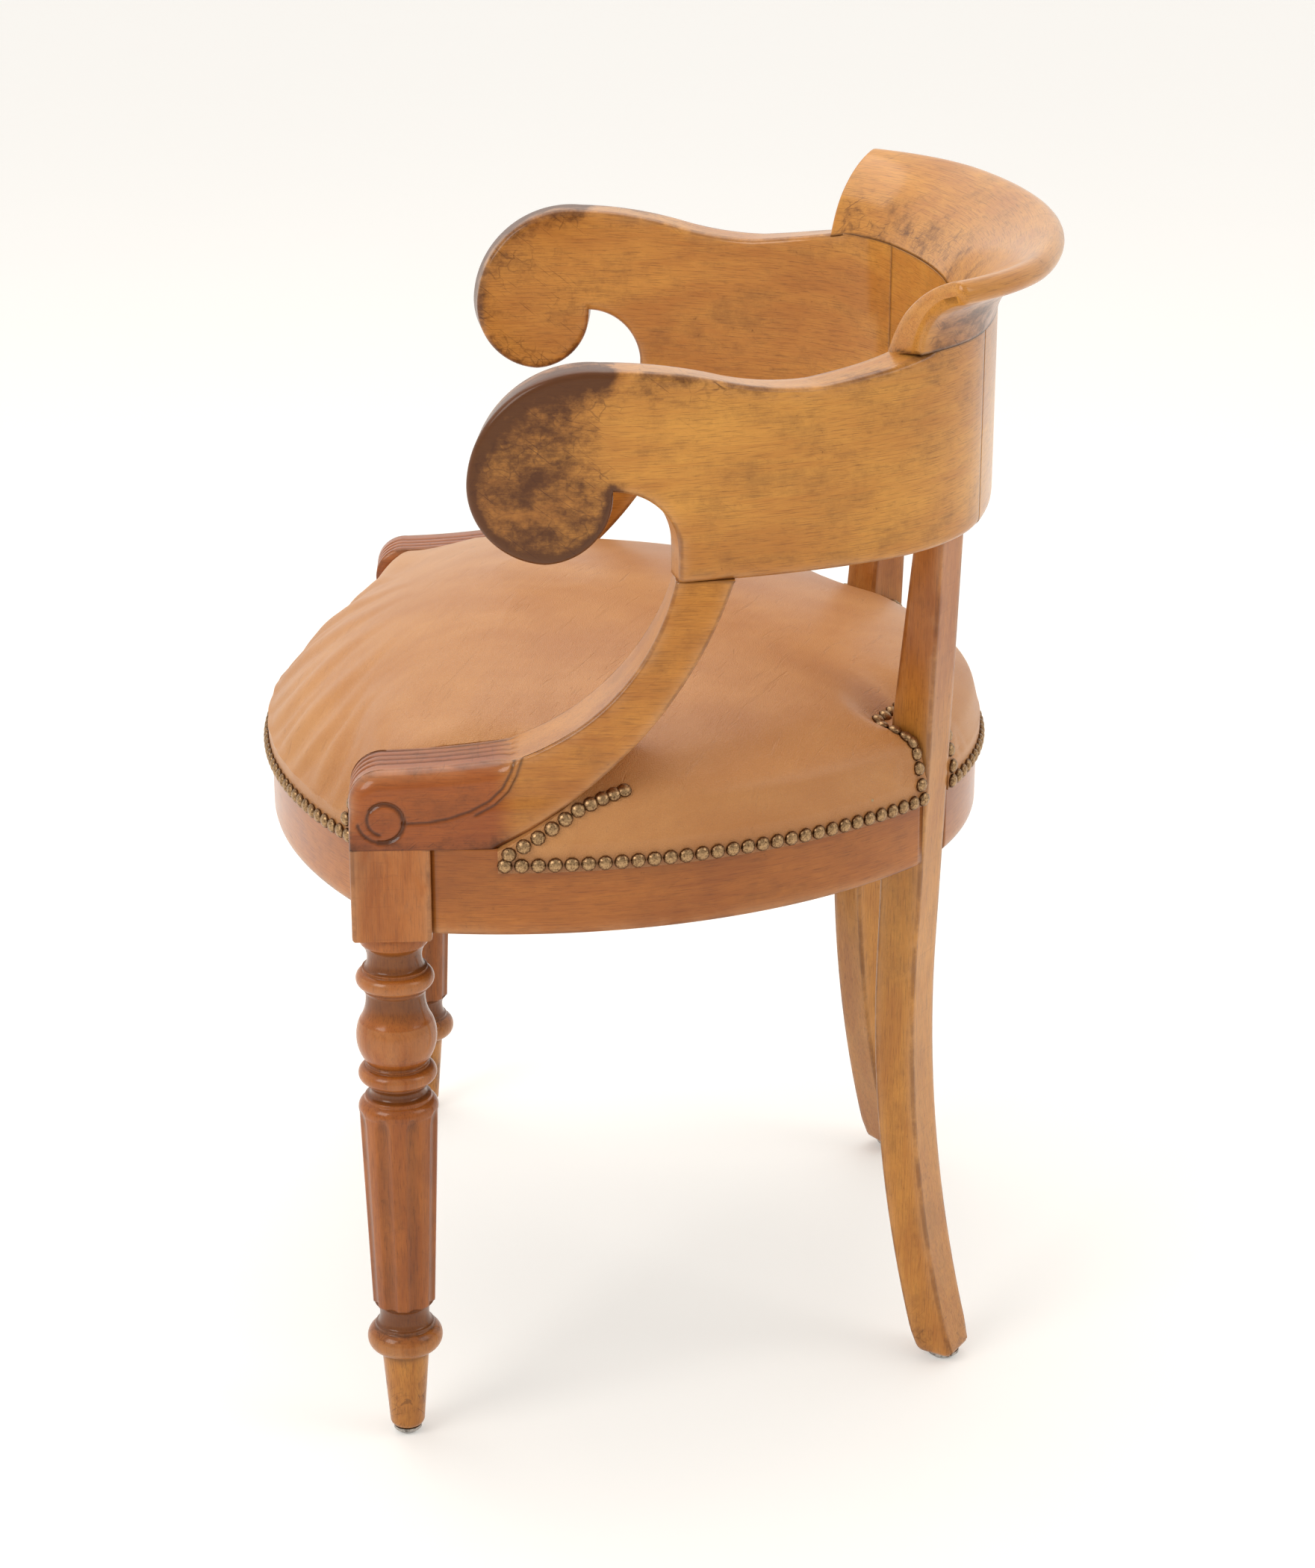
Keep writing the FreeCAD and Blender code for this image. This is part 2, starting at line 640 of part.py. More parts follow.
def arm(name, side):
    """Half of the horseshoe wall, sawn to the scroll in side view."""
    body = new_body(f"arm_{name}_blank")
    front_y = -(S.scroll_reach + S.block_width)
    thick = S.wall_thickness
    turn_out = wall_point(side, S.corner_angle, 0)
    turn_in = wall_point(side, S.corner_angle, thick)
    joint_out = wall_point(side, BACK_TURN, 0)
    joint_in = wall_point(side, BACK_TURN, thick)
    corners = [
        Corner(side * arm_x(front_y, 0), front_y, None, S.side_radius, side),
        Corner(turn_out[0], turn_out[1], None, S.corner_radius, side),
        Corner(joint_out[0], joint_out[1]),
        Corner(joint_in[0], joint_in[1], None, S.corner_radius - thick, -side),
        Corner(turn_in[0], turn_in[1], None, S.side_radius - thick, -side),
        Corner(side * arm_x(front_y, thick), front_y),
    ]
    plan = sketch_on(body, "plan", "XY_Plane", [corners], S.wall_bottom)
    pad(body, plan, CREST_TOP - S.wall_bottom)
    pocket(body, sketch_on(body, "scroll", "YZ_Plane", [arm_outline()]), symmetric=True)
    return body


def back_panel():
    body = new_body("back_panel_blank")
    thick = S.wall_thickness
    left_out = wall_point(1, BACK_TURN, 0)
    left_in = wall_point(1, BACK_TURN, thick)
    corners = [
        Corner(left_out[0], left_out[1], None, S.back_radius),
        Corner(-left_out[0], left_out[1]),
        Corner(-left_in[0], left_in[1], None, S.back_radius - thick, -1),
        Corner(left_in[0], left_in[1]),
    ]
    plan = sketch_on(body, "plan", "XY_Plane", [corners], S.wall_bottom)
    pad(body, plan, S.crest_joint - S.wall_bottom)
    return body


def crest_rail():
    """Flared section carried along the back and the corner, cut at its raked end, and mirrored."""
    body = new_body("crest_rail_blank")
    lip = S.wall_back + S.crest_overhang - S.lip_nose
    section = [
        Corner(S.wall_back, S.crest_joint, S.crest_flare, None, -1),
        Corner(lip, CREST_TOP - S.lip_thickness, S.lip_nose),
        Corner(lip - S.lip_nose, CREST_TOP, S.crest_flare),
        Corner(S.wall_back - S.wall_thickness, S.crest_joint),
    ]
    profile = sketch_on(body, "section", "YZ_Plane", [section])
    turn = wall_point(1, BACK_TURN, 0)
    end = wall_point(1, S.crest_end_angle, 0)
    route = [
        Corner(0, S.wall_back, None, S.back_radius, -1),
        Corner(turn[0], turn[1], None, S.corner_radius, -1),
        Corner(end[0], end[1]),
    ]
    path = sketch_on(body, "route", "XY_Plane", [route], S.crest_joint, closed=False)
    sweep = body.newObject("PartDesign::AdditivePipe", "flare")
    sweep.Profile = profile
    sweep.Spine = path
    ahead = S.crest_end_y - S.cutter_room
    above = CREST_TOP + S.cutter_room
    below = S.crest_joint - S.cutter_room
    rake = [
        Corner(S.crest_end_y, S.crest_joint),
        Corner(S.crest_end_y + S.crest_end_rake, CREST_TOP),
        Corner(S.crest_end_y + S.crest_end_rake, above),
        Corner(ahead, above),
        Corner(ahead, below),
        Corner(S.crest_end_y, below),
    ]
    cut = pocket(body, sketch_on(body, "rake", "YZ_Plane", [rake]), symmetric=True)
    mirror(body, [sweep, cut])
    return body


# Arm supports.


def support_rear_edge(gap=0):
    """The support's rear edge in side view, from the rail up to the arm, with room beside it if asked."""
    return [
        Corner(BLOCK_FRONT + S.support_foot + gap, S.rail_top, S.support_back_rise),
        Corner(S.support_head_y + S.support_head + gap, S.wall_bottom),
    ]


def arm_support(name, side):
    """Swept support: sawn in side view, then thinned in front view towards its head."""
    body = new_body(f"arm_support_{name}_blank")
    corners = [
        Corner(BLOCK_FRONT, S.rail_top),
        *support_rear_edge(),
        Corner(S.support_head_y, S.wall_bottom, S.support_throat_rise, None, -1),
        Corner(-S.support_throat_y, S.support_throat, S.support_brow_rise, None, -1),
        Corner(-S.support_brow_y, S.support_brow, S.support_nose_rise),
        Corner(BLOCK_FRONT, S.support_lip),
    ]
    low = BLOCK_INNER if side > 0 else -BLOCK_OUTER
    pad(body, sketch_on(body, "sweep", "YZ_Plane", [corners], low), S.block_width)
    head_y = S.support_head_y + S.support_head / 2
    head_out = arm_x(head_y, 0) - S.support_head_inset
    head_in = head_out - S.support_head_thickness
    over = S.wall_bottom + S.cutter_room
    outer = [
        Corner(side * BLOCK_OUTER, S.support_shoulder, S.support_thin_rise / 2, None, side),
        Corner(side * head_out, S.wall_bottom),
        Corner(side * head_out, over),
        Corner(side * (BLOCK_OUTER + S.cutter_room), over),
        Corner(side * (BLOCK_OUTER + S.cutter_room), S.support_shoulder),
    ]
    inner = [
        Corner(side * BLOCK_INNER, S.support_shoulder, S.support_thin_rise, None, -side),
        Corner(side * head_in, S.wall_bottom),
        Corner(side * head_in, over),
        Corner(side * (BLOCK_INNER - S.cutter_room), over),
        Corner(side * (BLOCK_INNER - S.cutter_room), S.support_shoulder),
    ]
    pocket(body, sketch_on(body, "thinning", "XZ_Plane", [outer, inner]), symmetric=True)
    return body


# Dowels and the holes that they sit in.

holes = collections.defaultdict(list)
dowels = collections.defaultdict(list)


def rod(label, foot, along, radius, length):
    """A bound cylinder that starts at its foot and runs along a direction."""
    cylinder = doc.addObject("Part::Cylinder", label)
    bind(cylinder, "Radius", radius)
    bind(cylinder, "Height", length)
    direction = FreeCAD.Vector(*(as_size(part).value for part in along))
    spot = FreeCAD.Vector(*(as_size(part).value for part in foot))
    cylinder.Placement = FreeCAD.Placement(spot, FreeCAD.Rotation(FreeCAD.Vector(0, 0, 1), direction))
    for axis, part in zip("xyz", foot):
        bind(cylinder, f"Placement.Base.{axis}", part)
    return cylinder


def dowel(group, joint, along, behind, ahead, grip_behind=S.dowel_grip, grip_ahead=S.dowel_grip):
    """A dowel through a point of a joint face, held by the piece behind and the piece ahead of that face."""
    length = grip_behind + grip_ahead
    foot = [middle - as_size(part) * grip_behind for middle, part in zip(joint, along)]
    dowels[group].append(rod(f"{group}_rod", foot, along, S.dowel_radius, length))
    slack = S.dowel_slack
    mouth = [middle - as_size(part) * (grip_behind + slack) for middle, part in zip(joint, along)]
    hole = rod(f"{group}_hole", mouth, along, S.dowel_radius + slack, length + 2 * slack)
    holes[behind].append(hole)
    holes[ahead].append(hole)


def rail_dowels(name, side):
    """Two dowels, one over the other, at each end of the rails."""
    middle = S.rail_top - S.rail_height / 2
    block_x = side * BLOCK_INNER
    rail_y = BLOCK_FRONT + S.rail_inset + S.dowel_setback
    side_x = side * (BLOCK_OUTER - S.rail_inset - S.rail_thickness / 2)
    set_in = S.hip_set - S.hip_depth / 2 + S.rail_inset + S.rail_thickness / 2
    hip = leg_point(side, set_in, S.rear_leg_width / 2)
    heel = leg_point(side, set_in, -S.rear_leg_width / 2)
    sideways = (side * cosine(S.rear_leg_angle), -sine(S.rear_leg_angle), 0)
    grip = S.leg_dowel_grip
    front = f"front_leg_{name}"
    rear = f"rear_leg_{name}"
    rail_side = f"side_rail_{name}"
    for z in (middle - S.dowel_pitch / 2, middle + S.dowel_pitch / 2):
        dowel("front_rail_dowels", (block_x, rail_y, z), (side, 0, 0), "front_rail", front)
        dowel("side_rail_dowels", (side_x, BLOCK_BACK, z), (0, 1, 0), front, rail_side)
        dowel("side_rail_dowels", (*hip, z), sideways, rear, rail_side, grip_behind=grip)
        dowel("back_rail_dowels", (*heel, z), sideways, "back_rail", rear, grip_ahead=grip)


def wall_dowels(name, side):
    """Dowels under the arms and between the arms and the back."""
    upright = (0, 0, 1)
    block_top = (side * (S.front_leg_spread - S.support_dowel_in), -S.front_leg_lead, S.rail_top)
    dowel("support_dowels", block_top, upright, f"front_leg_{name}", f"arm_support_{name}")
    head_y = S.support_head_y + S.support_head / 2
    head_x = arm_x(head_y, 0) - S.support_head_inset - S.support_head_thickness / 2
    head = (side * head_x, head_y, S.wall_bottom)
    dowel("support_dowels", head, upright, f"arm_support_{name}", f"arm_{name}")
    stile = leg_point(side, S.stile_set, 0)
    dowel("stile_dowels", (*stile, S.wall_bottom), upright, f"rear_leg_{name}", f"arm_{name}")
    joint = wall_point(side, BACK_TURN, S.wall_thickness / 2)
    along = (side * cosine(BACK_TURN), -sine(BACK_TURN), 0)
    middle = (S.wall_bottom + S.crest_joint) / 2
    for z in (middle - S.dowel_pitch, middle + S.dowel_pitch):
        dowel("wall_dowels", (*joint, z), along, "back_panel", f"arm_{name}")


def crest_dowels():
    """Upright dowels between the back and the crest rail."""
    radius = S.back_radius - S.crest_dowel_set
    grip = S.crest_dowel_grip
    for step in (-1, 0, 1):
        turn = step * S.crest_dowel_angle
        x = radius * sine(turn)
        y = S.wall_back - S.back_radius + radius * cosine(turn)
        joint = (x, y, S.crest_joint)
        dowel("crest_dowels", joint, (0, 0, 1), "back_panel", "crest_rail", grip_ahead=grip)


def group(label, members):
    """One node of several separate solids."""
    compound = doc.addObject("Part::Compound", label)
    compound.Label = label
    compound.Links = members
    return compound


def cut_away(label, blank, tools, fused=False):
    """A piece made from its blank by taking the tools away."""
    tool = doc.addObject("Part::MultiFuse" if fused else "Part::Compound", f"{label}_tool")
    if fused:
        tool.Shapes = tools
    else:
        tool.Links = tools
    piece = doc.addObject("Part::Cut", label)
    piece.Label = label
    piece.Base = blank
    piece.Tool = tool
    return piece


# Corner blocks inside the seat frame.


def corner_block(label, corners, neighbours):
    """A block that fills the corner behind its inner edge, fitted to the rails and the leg."""
    blank = new_body(f"{label}_blank")
    low = RAIL_BOTTOM + (S.rail_height - S.corner_block_height) / 2
    pad(blank, sketch_on(blank, "plan", "XY_Plane", [corners], low), S.corner_block_height)
    return cut_away(label, blank, neighbours, fused=True)


def corner_blocks(name, side, blanks):
    rail_middle = S.rail_inset + S.rail_thickness / 2
    front = [
        Corner(side * (BLOCK_INNER - S.corner_block_leg), BLOCK_FRONT + S.rail_inset - S.rail_thickness / 2),
        Corner(side * S.front_leg_spread, -S.front_leg_lead),
        Corner(side * (BLOCK_OUTER - rail_middle), BLOCK_BACK + S.corner_block_leg),
    ]
    set_in = S.hip_set - S.hip_depth / 2 + rail_middle
    half = S.rear_leg_width / 2
    deep = S.hip_set + S.hip_depth / 2 + S.heel_block_depth
    reach = half + S.heel_block_reach
    spots = (leg_point(side, set_in, reach), leg_point(side, set_in, -reach))
    spots += (leg_point(side, deep, -half), leg_point(side, deep, half))
    rear = [Corner(*spot) for spot in spots]
    sides = blanks[f"side_rail_{name}"]
    front_set = [blanks["front_rail"], sides, blanks[f"front_leg_{name}"]]
    rear_set = [blanks["back_rail"], sides, blanks[f"rear_leg_{name}"]]
    return [
        corner_block(f"corner_block_front_{name}", front, front_set),
        corner_block(f"corner_block_rear_{name}", rear, rear_set),
    ]


# Webbing and cloths.


def strap(label, x, y, z, width, length):
    """A flat strap about a middle point in plan."""
    box = doc.addObject("Part::Box", label)
    bind(box, "Length", width)
    bind(box, "Width", length)
    bind(box, "Height", S.strap_thickness)
    place(box, x - width / 2, y - length / 2, z)
    return box


def bow_depth(half_chord, rise, offset):
    """How far a bow stands out from its chord at an offset from its middle."""
    radius = half_chord * half_chord / (2 * rise) + rise / 2
    return root(radius * radius - offset * offset) - (radius - rise)


def side_reach(y):
    """Distance of a side rail's outer face from the chair's middle plane at a given y."""
    front, rear = seat_corners()[2:4]
    radius = bow_radius(front, rear, front.rise)
    across = rear.u - front.u
    along = rear.v - front.v
    chord = root(across * across + along * along)
    inward = (radius - front.rise) / chord
    middle_x = (front.u + rear.u) / 2 - along * inward
    middle_y = (front.v + rear.v) / 2 + across * inward
    return middle_x + root(radius * radius - (y - middle_y) * (y - middle_y))


def webbing():
    """Straps laid front to back over the rails, and straps laid across them."""
    outer = seat_corners()
    lengthwise = []
    crosswise = []
    for place_number in (-1.5, -0.5, 0.5, 1.5):
        offset = place_number * S.strap_pitch
        ahead = outer[1].v - bow_depth(outer[1].u, outer[0].rise, offset) + S.rail_thickness / 2
        behind = outer[4].v + bow_depth(outer[4].u, outer[4].rise, offset) - S.rail_thickness / 2
        middle = (ahead + behind) / 2
        lengthwise.append(strap("long_strap", offset, middle, S.rail_top, S.strap_width, behind - ahead))
        y = S.cross_strap_middle + offset
        reach = side_reach(y) - S.rail_thickness / 2
        upper = S.rail_top + S.strap_thickness
        crosswise.append(strap("cross_strap", as_size(0), y, upper, 2 * reach, S.strap_width))
    return [group("webbing_lengthwise", lengthwise), group("webbing_crosswise", crosswise)]


CLOTH_BOTTOM = S.rail_top + 2 * S.strap_thickness
STUFFING_BOTTOM = CLOTH_BOTTOM + S.cloth_thickness + S.soft_gap


def notch_for_legs(body, gap):
    """Cuts a sheet or cushion clear of the two rear legs."""
    inner = S.hip_set + S.hip_depth / 2 + gap
    outer = -S.cutter_room
    half = S.rear_leg_width / 2 + gap
    spots = ((inner, half), (outer, half), (outer, -half), (inner, -half))
    corners = [Corner(*leg_point(1, *spot)) for spot in spots]
    return pocket(body, sketch_on(body, "leg_notch", "XY_Plane", [corners]), upward=True)


def notch_for_supports(body, gap):
    """Cuts a sheet or cushion clear of the arm supports."""
    foot, head = support_rear_edge(gap)
    ahead = BLOCK_FRONT - S.cutter_room
    above = S.wall_bottom + S.cutter_room
    corners = [Corner(ahead, 0), Corner(foot.u, 0), foot, head, Corner(head.u, above), Corner(ahead, above)]
    notch = sketch_on(body, "support_notch", "YZ_Plane", [corners], BLOCK_INNER - gap)
    return pocket(body, notch, upward=True)


def notch_for_blocks(body, gap):
    """Cuts a sheet clear of the blocks of the front legs."""
    ahead = BLOCK_FRONT - S.cutter_room
    corners = [
        Corner(BLOCK_INNER - gap, ahead),
        Corner(BLOCK_OUTER + gap, ahead),
        Corner(BLOCK_OUTER + gap, BLOCK_BACK + gap),
        Corner(BLOCK_INNER - gap, BLOCK_BACK + gap),
    ]
    return pocket(body, sketch_on(body, "block_notch", "XY_Plane", [corners]), upward=True)


def seat_sheet(label, level, front_notch):
    """A flat cloth over the whole frame, cut round the legs and what stands at the front corners."""
    body = new_body(label)
    plan = sketch_on(body, "plan", "XY_Plane", [seat_corners(margin=S.cloth_margin)], level)
    pad(body, plan, S.cloth_thickness)
    mirror(body, [notch_for_legs(body, S.soft_gap), front_notch(body, S.soft_gap)])
    return body


# Stuffed seat.


def seat_dome(label, crown, margin, ruled=True):
    """A dome over the seat's plan, from the base of the stuffing up to its crown."""
    body = new_body(label)
    sketches = []
    for share, scale, front in CROWN:
        level = STUFFING_BOTTOM + (crown - STUFFING_BOTTOM) * share
        corners = seat_corners(scale, front, margin)
        sketches.append(sketch_on(body, "dome", "XY_Plane", [corners], level))
    body.Tip = loft(body, sketches, ruled)
    return body


def add_skirt(body, low, margin):
    """Carries the plan of a dome straight down."""
    plan = sketch_on(body, "skirt", "XY_Plane", [seat_corners(margin=margin)], low)
    body.Tip = pad(body, plan, STUFFING_BOTTOM - low)


def clear_corners(body, gap):
    """Cuts a dome clear of the legs and the arm supports."""
    mirror(body, [notch_for_legs(body, gap), notch_for_supports(body, gap)])


def seat_stuffing():
    body = seat_dome("seat_stuffing", S.seat_crown, as_size(0))
    clear_corners(body, 2 * S.soft_gap + S.leather_thickness)
    return body


def seat_leather():
    """Leather drawn over the dome and down the rails: an outer form with the covered form taken out."""
    crown = S.seat_crown + S.soft_gap
    margin = S.soft_gap + S.leather_thickness
    outside = seat_dome("seat_leather_outside", crown + S.leather_thickness, -margin, ruled=False)
    add_skirt(outside, S.rail_top - S.leather_skirt, -margin)
    clear_corners(outside, S.soft_gap)
    inside = seat_dome("seat_leather_inside", crown, -S.soft_gap)
    clear_corners(inside, margin)
    add_skirt(inside, RAIL_BOTTOM, -S.soft_gap)
    return cut_away("seat_leather", outside, [inside])


# Nails, tacks and glides.


def stud(spot, outward, radius, crown, height):
    """A many-sided nail head standing on a surface."""
    turn = FreeCAD.Rotation(FreeCAD.Vector(0, 0, 1), outward)
    angles = [2 * math.pi * corner / NAIL_SIDES for corner in range(NAIL_SIDES)]

    def ring(reach, lift):
        points = [FreeCAD.Vector(reach * math.cos(angle), reach * math.sin(angle), lift) for angle in angles]
        return [spot + turn.multVec(point) for point in points]

    foot = ring(radius, 0)
    head = ring(crown, height)
    walls = [[foot[k - 1], foot[k], head[k], head[k - 1]] for k in range(NAIL_SIDES)]
    faces = [Part.Face(Part.makePolygon(outline, True)) for outline in (foot, head, *walls)]
    solid = Part.makeSolid(Part.makeShell(faces))
    return solid if solid.Volume > 0 else solid.reversed()


def along_bow(start, end, pitch):
    """Evenly spaced plan points and outward normals along a bow of the seat's plan."""
    first = FreeCAD.Vector(start.u.value, start.v.value, 0)
    last = FreeCAD.Vector(end.u.value, end.v.value, 0)
    curve = arc_between(first, last, bow_radius(start, end, start.rise).value, 1)
    count = max(2, int(curve.length() / pitch))
    for number in range(count):
        share = (number + 0.5) / count
        angle = curve.FirstParameter + (curve.LastParameter - curve.FirstParameter) * share
        spot = curve.value(angle)
        yield spot, (spot - curve.Center).normalize()


def nail_row(label, first, behind=-math.inf):
    """Brass nails along one bow of the leather's hem, from a given y backward."""
    outer = seat_corners(margin=-(S.soft_gap + S.leather_thickness))
    level = FreeCAD.Vector(0, 0, S.rail_top.value - S.nail_drop.value)
    sizes = (S.nail_radius.value, S.nail_crown.value, S.nail_height.value)
    heads = [
        stud(spot + level, normal, *sizes)
        for spot, normal in along_bow(outer[first], outer[first + 1], S.nail_pitch.value)
        if spot.y > behind
    ]
    row = doc.addObject("Part::Feature", label)
    row.Label = label
    row.Shape = Part.makeCompound(heads)
    return row


def bottom_tacks():
    """Tack heads that hold the bottom cloth under the rails."""
    outer = seat_corners(margin=S.rail_thickness / 2)
    level = FreeCAD.Vector(0, 0, RAIL_BOTTOM.value - S.cloth_thickness.value)
    down = FreeCAD.Vector(0, 0, -1)
    sizes = (S.tack_radius.value, S.nail_crown.value, S.tack_height.value)
    heads = []
    for first in (0, 2, 4, 6):
        for spot, normal in along_bow(outer[first], outer[first + 1], S.tack_pitch.value):
            heads.append(stud(spot + level, down, *sizes))
    row = doc.addObject("Part::Feature", "bottom_tacks")
    row.Label = "bottom_tacks"
    row.Shape = Part.makeCompound(heads)
    return row


def glide(label, x, y, radius):
    """A bevelled steel glide with a flat underside."""
    body = new_body(label)
    corners = [
        Corner(0, 0),
        Corner(radius - S.glide_bevel, 0),
        Corner(radius, S.glide_height - S.glide_edge),
        Corner(radius, S.glide_height),
        Corner(0, S.glide_height),
    ]
    revolve(body, sketch_on(body, "profile", "XZ_Plane", [corners]))
    place(body, x, y, 0)
    return body


# The whole chair.


def build():
    blanks = {}
    for name, side in SIDES:
        blanks[f"front_leg_{name}"] = front_leg(name, side)
        blanks[f"rear_leg_{name}"] = rear_leg(name, side)
        blanks[f"arm_support_{name}"] = arm_support(name, side)
        blanks[f"arm_{name}"] = arm(name, side)
    blanks.update(seat_rails())
    blanks["back_panel"] = back_panel()
    blanks["crest_rail"] = crest_rail()
    pieces = []
    for name, side in SIDES:
        rail_dowels(name, side)
        wall_dowels(name, side)
        pieces += corner_blocks(name, side, blanks)
        front_x = side * S.front_leg_spread
        rear_x = side * S.rear_foot_x
        pieces.append(glide(f"glide_front_{name}", front_x, -S.front_leg_lead, S.front_glide_radius))
        pieces.append(glide(f"glide_rear_{name}", rear_x, S.rear_foot_y, S.rear_glide_radius))
    crest_dowels()
    pieces += [cut_away(label, blank, holes[label]) for label, blank in blanks.items()]
    pieces += [group(label, members) for label, members in dowels.items()]
    pieces += webbing()
    pieces.append(seat_sheet("base_cloth", CLOTH_BOTTOM, notch_for_supports))
    pieces.append(seat_sheet("bottom_cloth", RAIL_BOTTOM - S.cloth_thickness, notch_for_blocks))
    pieces.append(seat_stuffing())
    pieces.append(seat_leather())
    clear_of_support = BLOCK_FRONT.value + S.support_foot.value
    pieces.append(nail_row("nails_front", 0))
    pieces.append(nail_row("nails_left", 2, clear_of_support))
    pieces.append(nail_row("nails_back", 4))
    pieces.append(nail_row("nails_right", 6, clear_of_support))
    pieces.append(bottom_tacks())
    return pieces


def check(pieces):
    """Stops if any object failed or any piece has no valid solid."""
    for thing in doc.Objects:
        if "Invalid" in thing.State or "Error" in thing.State:
            raise RuntimeError(f"{thing.Label} failed: {thing.State}")
    for piece in pieces:
        if piece.Shape.isNull() or not piece.Shape.isValid() or not piece.Shape.Solids:
            raise RuntimeError(f"{piece.Label} is not a valid solid")


def export(pieces):
    os.makedirs("parts", exist_ok=True)
    for piece in pieces:
        piece.Shape.exportStep(os.path.join("parts", f"{piece.Label}.step"))


chair = build()
doc.recompute()
check(chair)
export(chair)
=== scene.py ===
"""Dresses the gondola armchair: polished wood, turned front legs, a nailed leather seat and a pale studio."""

import bmesh
import bpy
import numpy as np
from mathutils import Matrix, Vector


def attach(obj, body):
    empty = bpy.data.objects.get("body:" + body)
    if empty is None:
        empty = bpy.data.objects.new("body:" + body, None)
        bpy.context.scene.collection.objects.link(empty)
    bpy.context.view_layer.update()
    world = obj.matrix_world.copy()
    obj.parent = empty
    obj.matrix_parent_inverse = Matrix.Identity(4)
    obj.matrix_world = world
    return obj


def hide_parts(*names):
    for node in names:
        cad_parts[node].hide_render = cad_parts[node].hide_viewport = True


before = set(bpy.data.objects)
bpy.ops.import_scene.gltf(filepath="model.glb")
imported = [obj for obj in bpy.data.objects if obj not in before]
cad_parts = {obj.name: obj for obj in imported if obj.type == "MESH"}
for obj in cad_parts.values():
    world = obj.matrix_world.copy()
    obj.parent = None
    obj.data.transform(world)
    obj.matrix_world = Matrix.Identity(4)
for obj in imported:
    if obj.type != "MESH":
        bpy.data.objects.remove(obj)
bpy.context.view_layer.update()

bl_info = {
    "name": "Gondola armchair",
    "version": (1, 0, 0),
    "blender": (4, 5, 0),
    "location": "3D View > Sidebar > Armchair",
    "description": "Builds the visible wood, leather and brass of a gondola armchair over its solid frame",
    "category": "Object",
}

MM = 0.001
FLIP = np.array([-1, 1, 1])
UPRIGHT = [1, 0, 2]

# The horseshoe of arms and back, in millimetres: three arcs a side that share their normals.
WALL_THICKNESS = 30
WALL_BOTTOM = 591
WALL_TOP = 717
CREST_TOP = 768
CREST_HALF = 270
CREST_TURN = 52
CREST_FLARE = 1.6
BACK_RADIUS = 450
CORNER_RADIUS = 150
BACK_CENTRE_Y = -223
BACK_TURN = np.arcsin(145 / BACK_RADIUS)
CORNER_TURN = np.radians(63.7)
REACH = BACK_RADIUS - CORNER_RADIUS
CORNER_CENTRE = np.array([REACH * np.sin(BACK_TURN), BACK_CENTRE_Y + REACH * np.cos(BACK_TURN)])
SIDE_CENTRE = CORNER_CENTRE - REACH * np.array([np.sin(CORNER_TURN), np.cos(CORNER_TURN)])
MIDDLE = WALL_THICKNESS / 2
TURN_KNOTS = np.array([0, BACK_TURN, CORNER_TURN, CORNER_TURN + 1])
RUN_KNOTS = np.concatenate(
    [[0], np.cumsum(np.diff(TURN_KNOTS) * (np.array([BACK_RADIUS, CORNER_RADIUS, BACK_RADIUS]) - MIDDLE))]
)

# The seat frame and its legs.
RAIL_BOTTOM = 366
RAIL_TOP = 423
RAIL_THICKNESS = 28
FRONT_LEG = (250, -174)
BLOCK_BOTTOM = 362
BLOCK_HALF = 25
FOOT = 5
KNEE = 300
REAR_FOOT = (164.7, 194.7)
REAR_ANGLE = np.radians(33)
REAR_HALF = 16
REAR_FRONT = -48
REAR_HEAD = -31
FRONT_CORNER = (225, -196.5)
SIDE_CORNER = (272.5, -149)
HIP = (167.5, 169.6)
HEEL = (140.7, 187.1)
FRONT_BOW = 67
SIDE_BOW = 41
BACK_BOW = 37
FRONT_RAIL = ((-FRONT_CORNER[0], FRONT_CORNER[1]), FRONT_CORNER, -FRONT_BOW)
SIDE_RAIL = (SIDE_CORNER, HIP, -SIDE_BOW)
BACK_RAIL = (HEEL, (-HEEL[0], HEEL[1]), -BACK_BOW)

# The arm supports, in side view (y, z) but for the x of their two faces.
SUPPORT_INNER = 225
SUPPORT_OUTER = 275
SUPPORT_NOSE = -199
SUPPORT_HEEL = (-108, RAIL_TOP)
SUPPORT_HEAD = (39, WALL_BOTTOM)
SUPPORT_SWEEP = -21.6
SUPPORT_TAPER = (8.2, 14.8)
SUPPORT_SWELL = (12, 24)
CARVED_TOP = 474
CARVED_END = -92

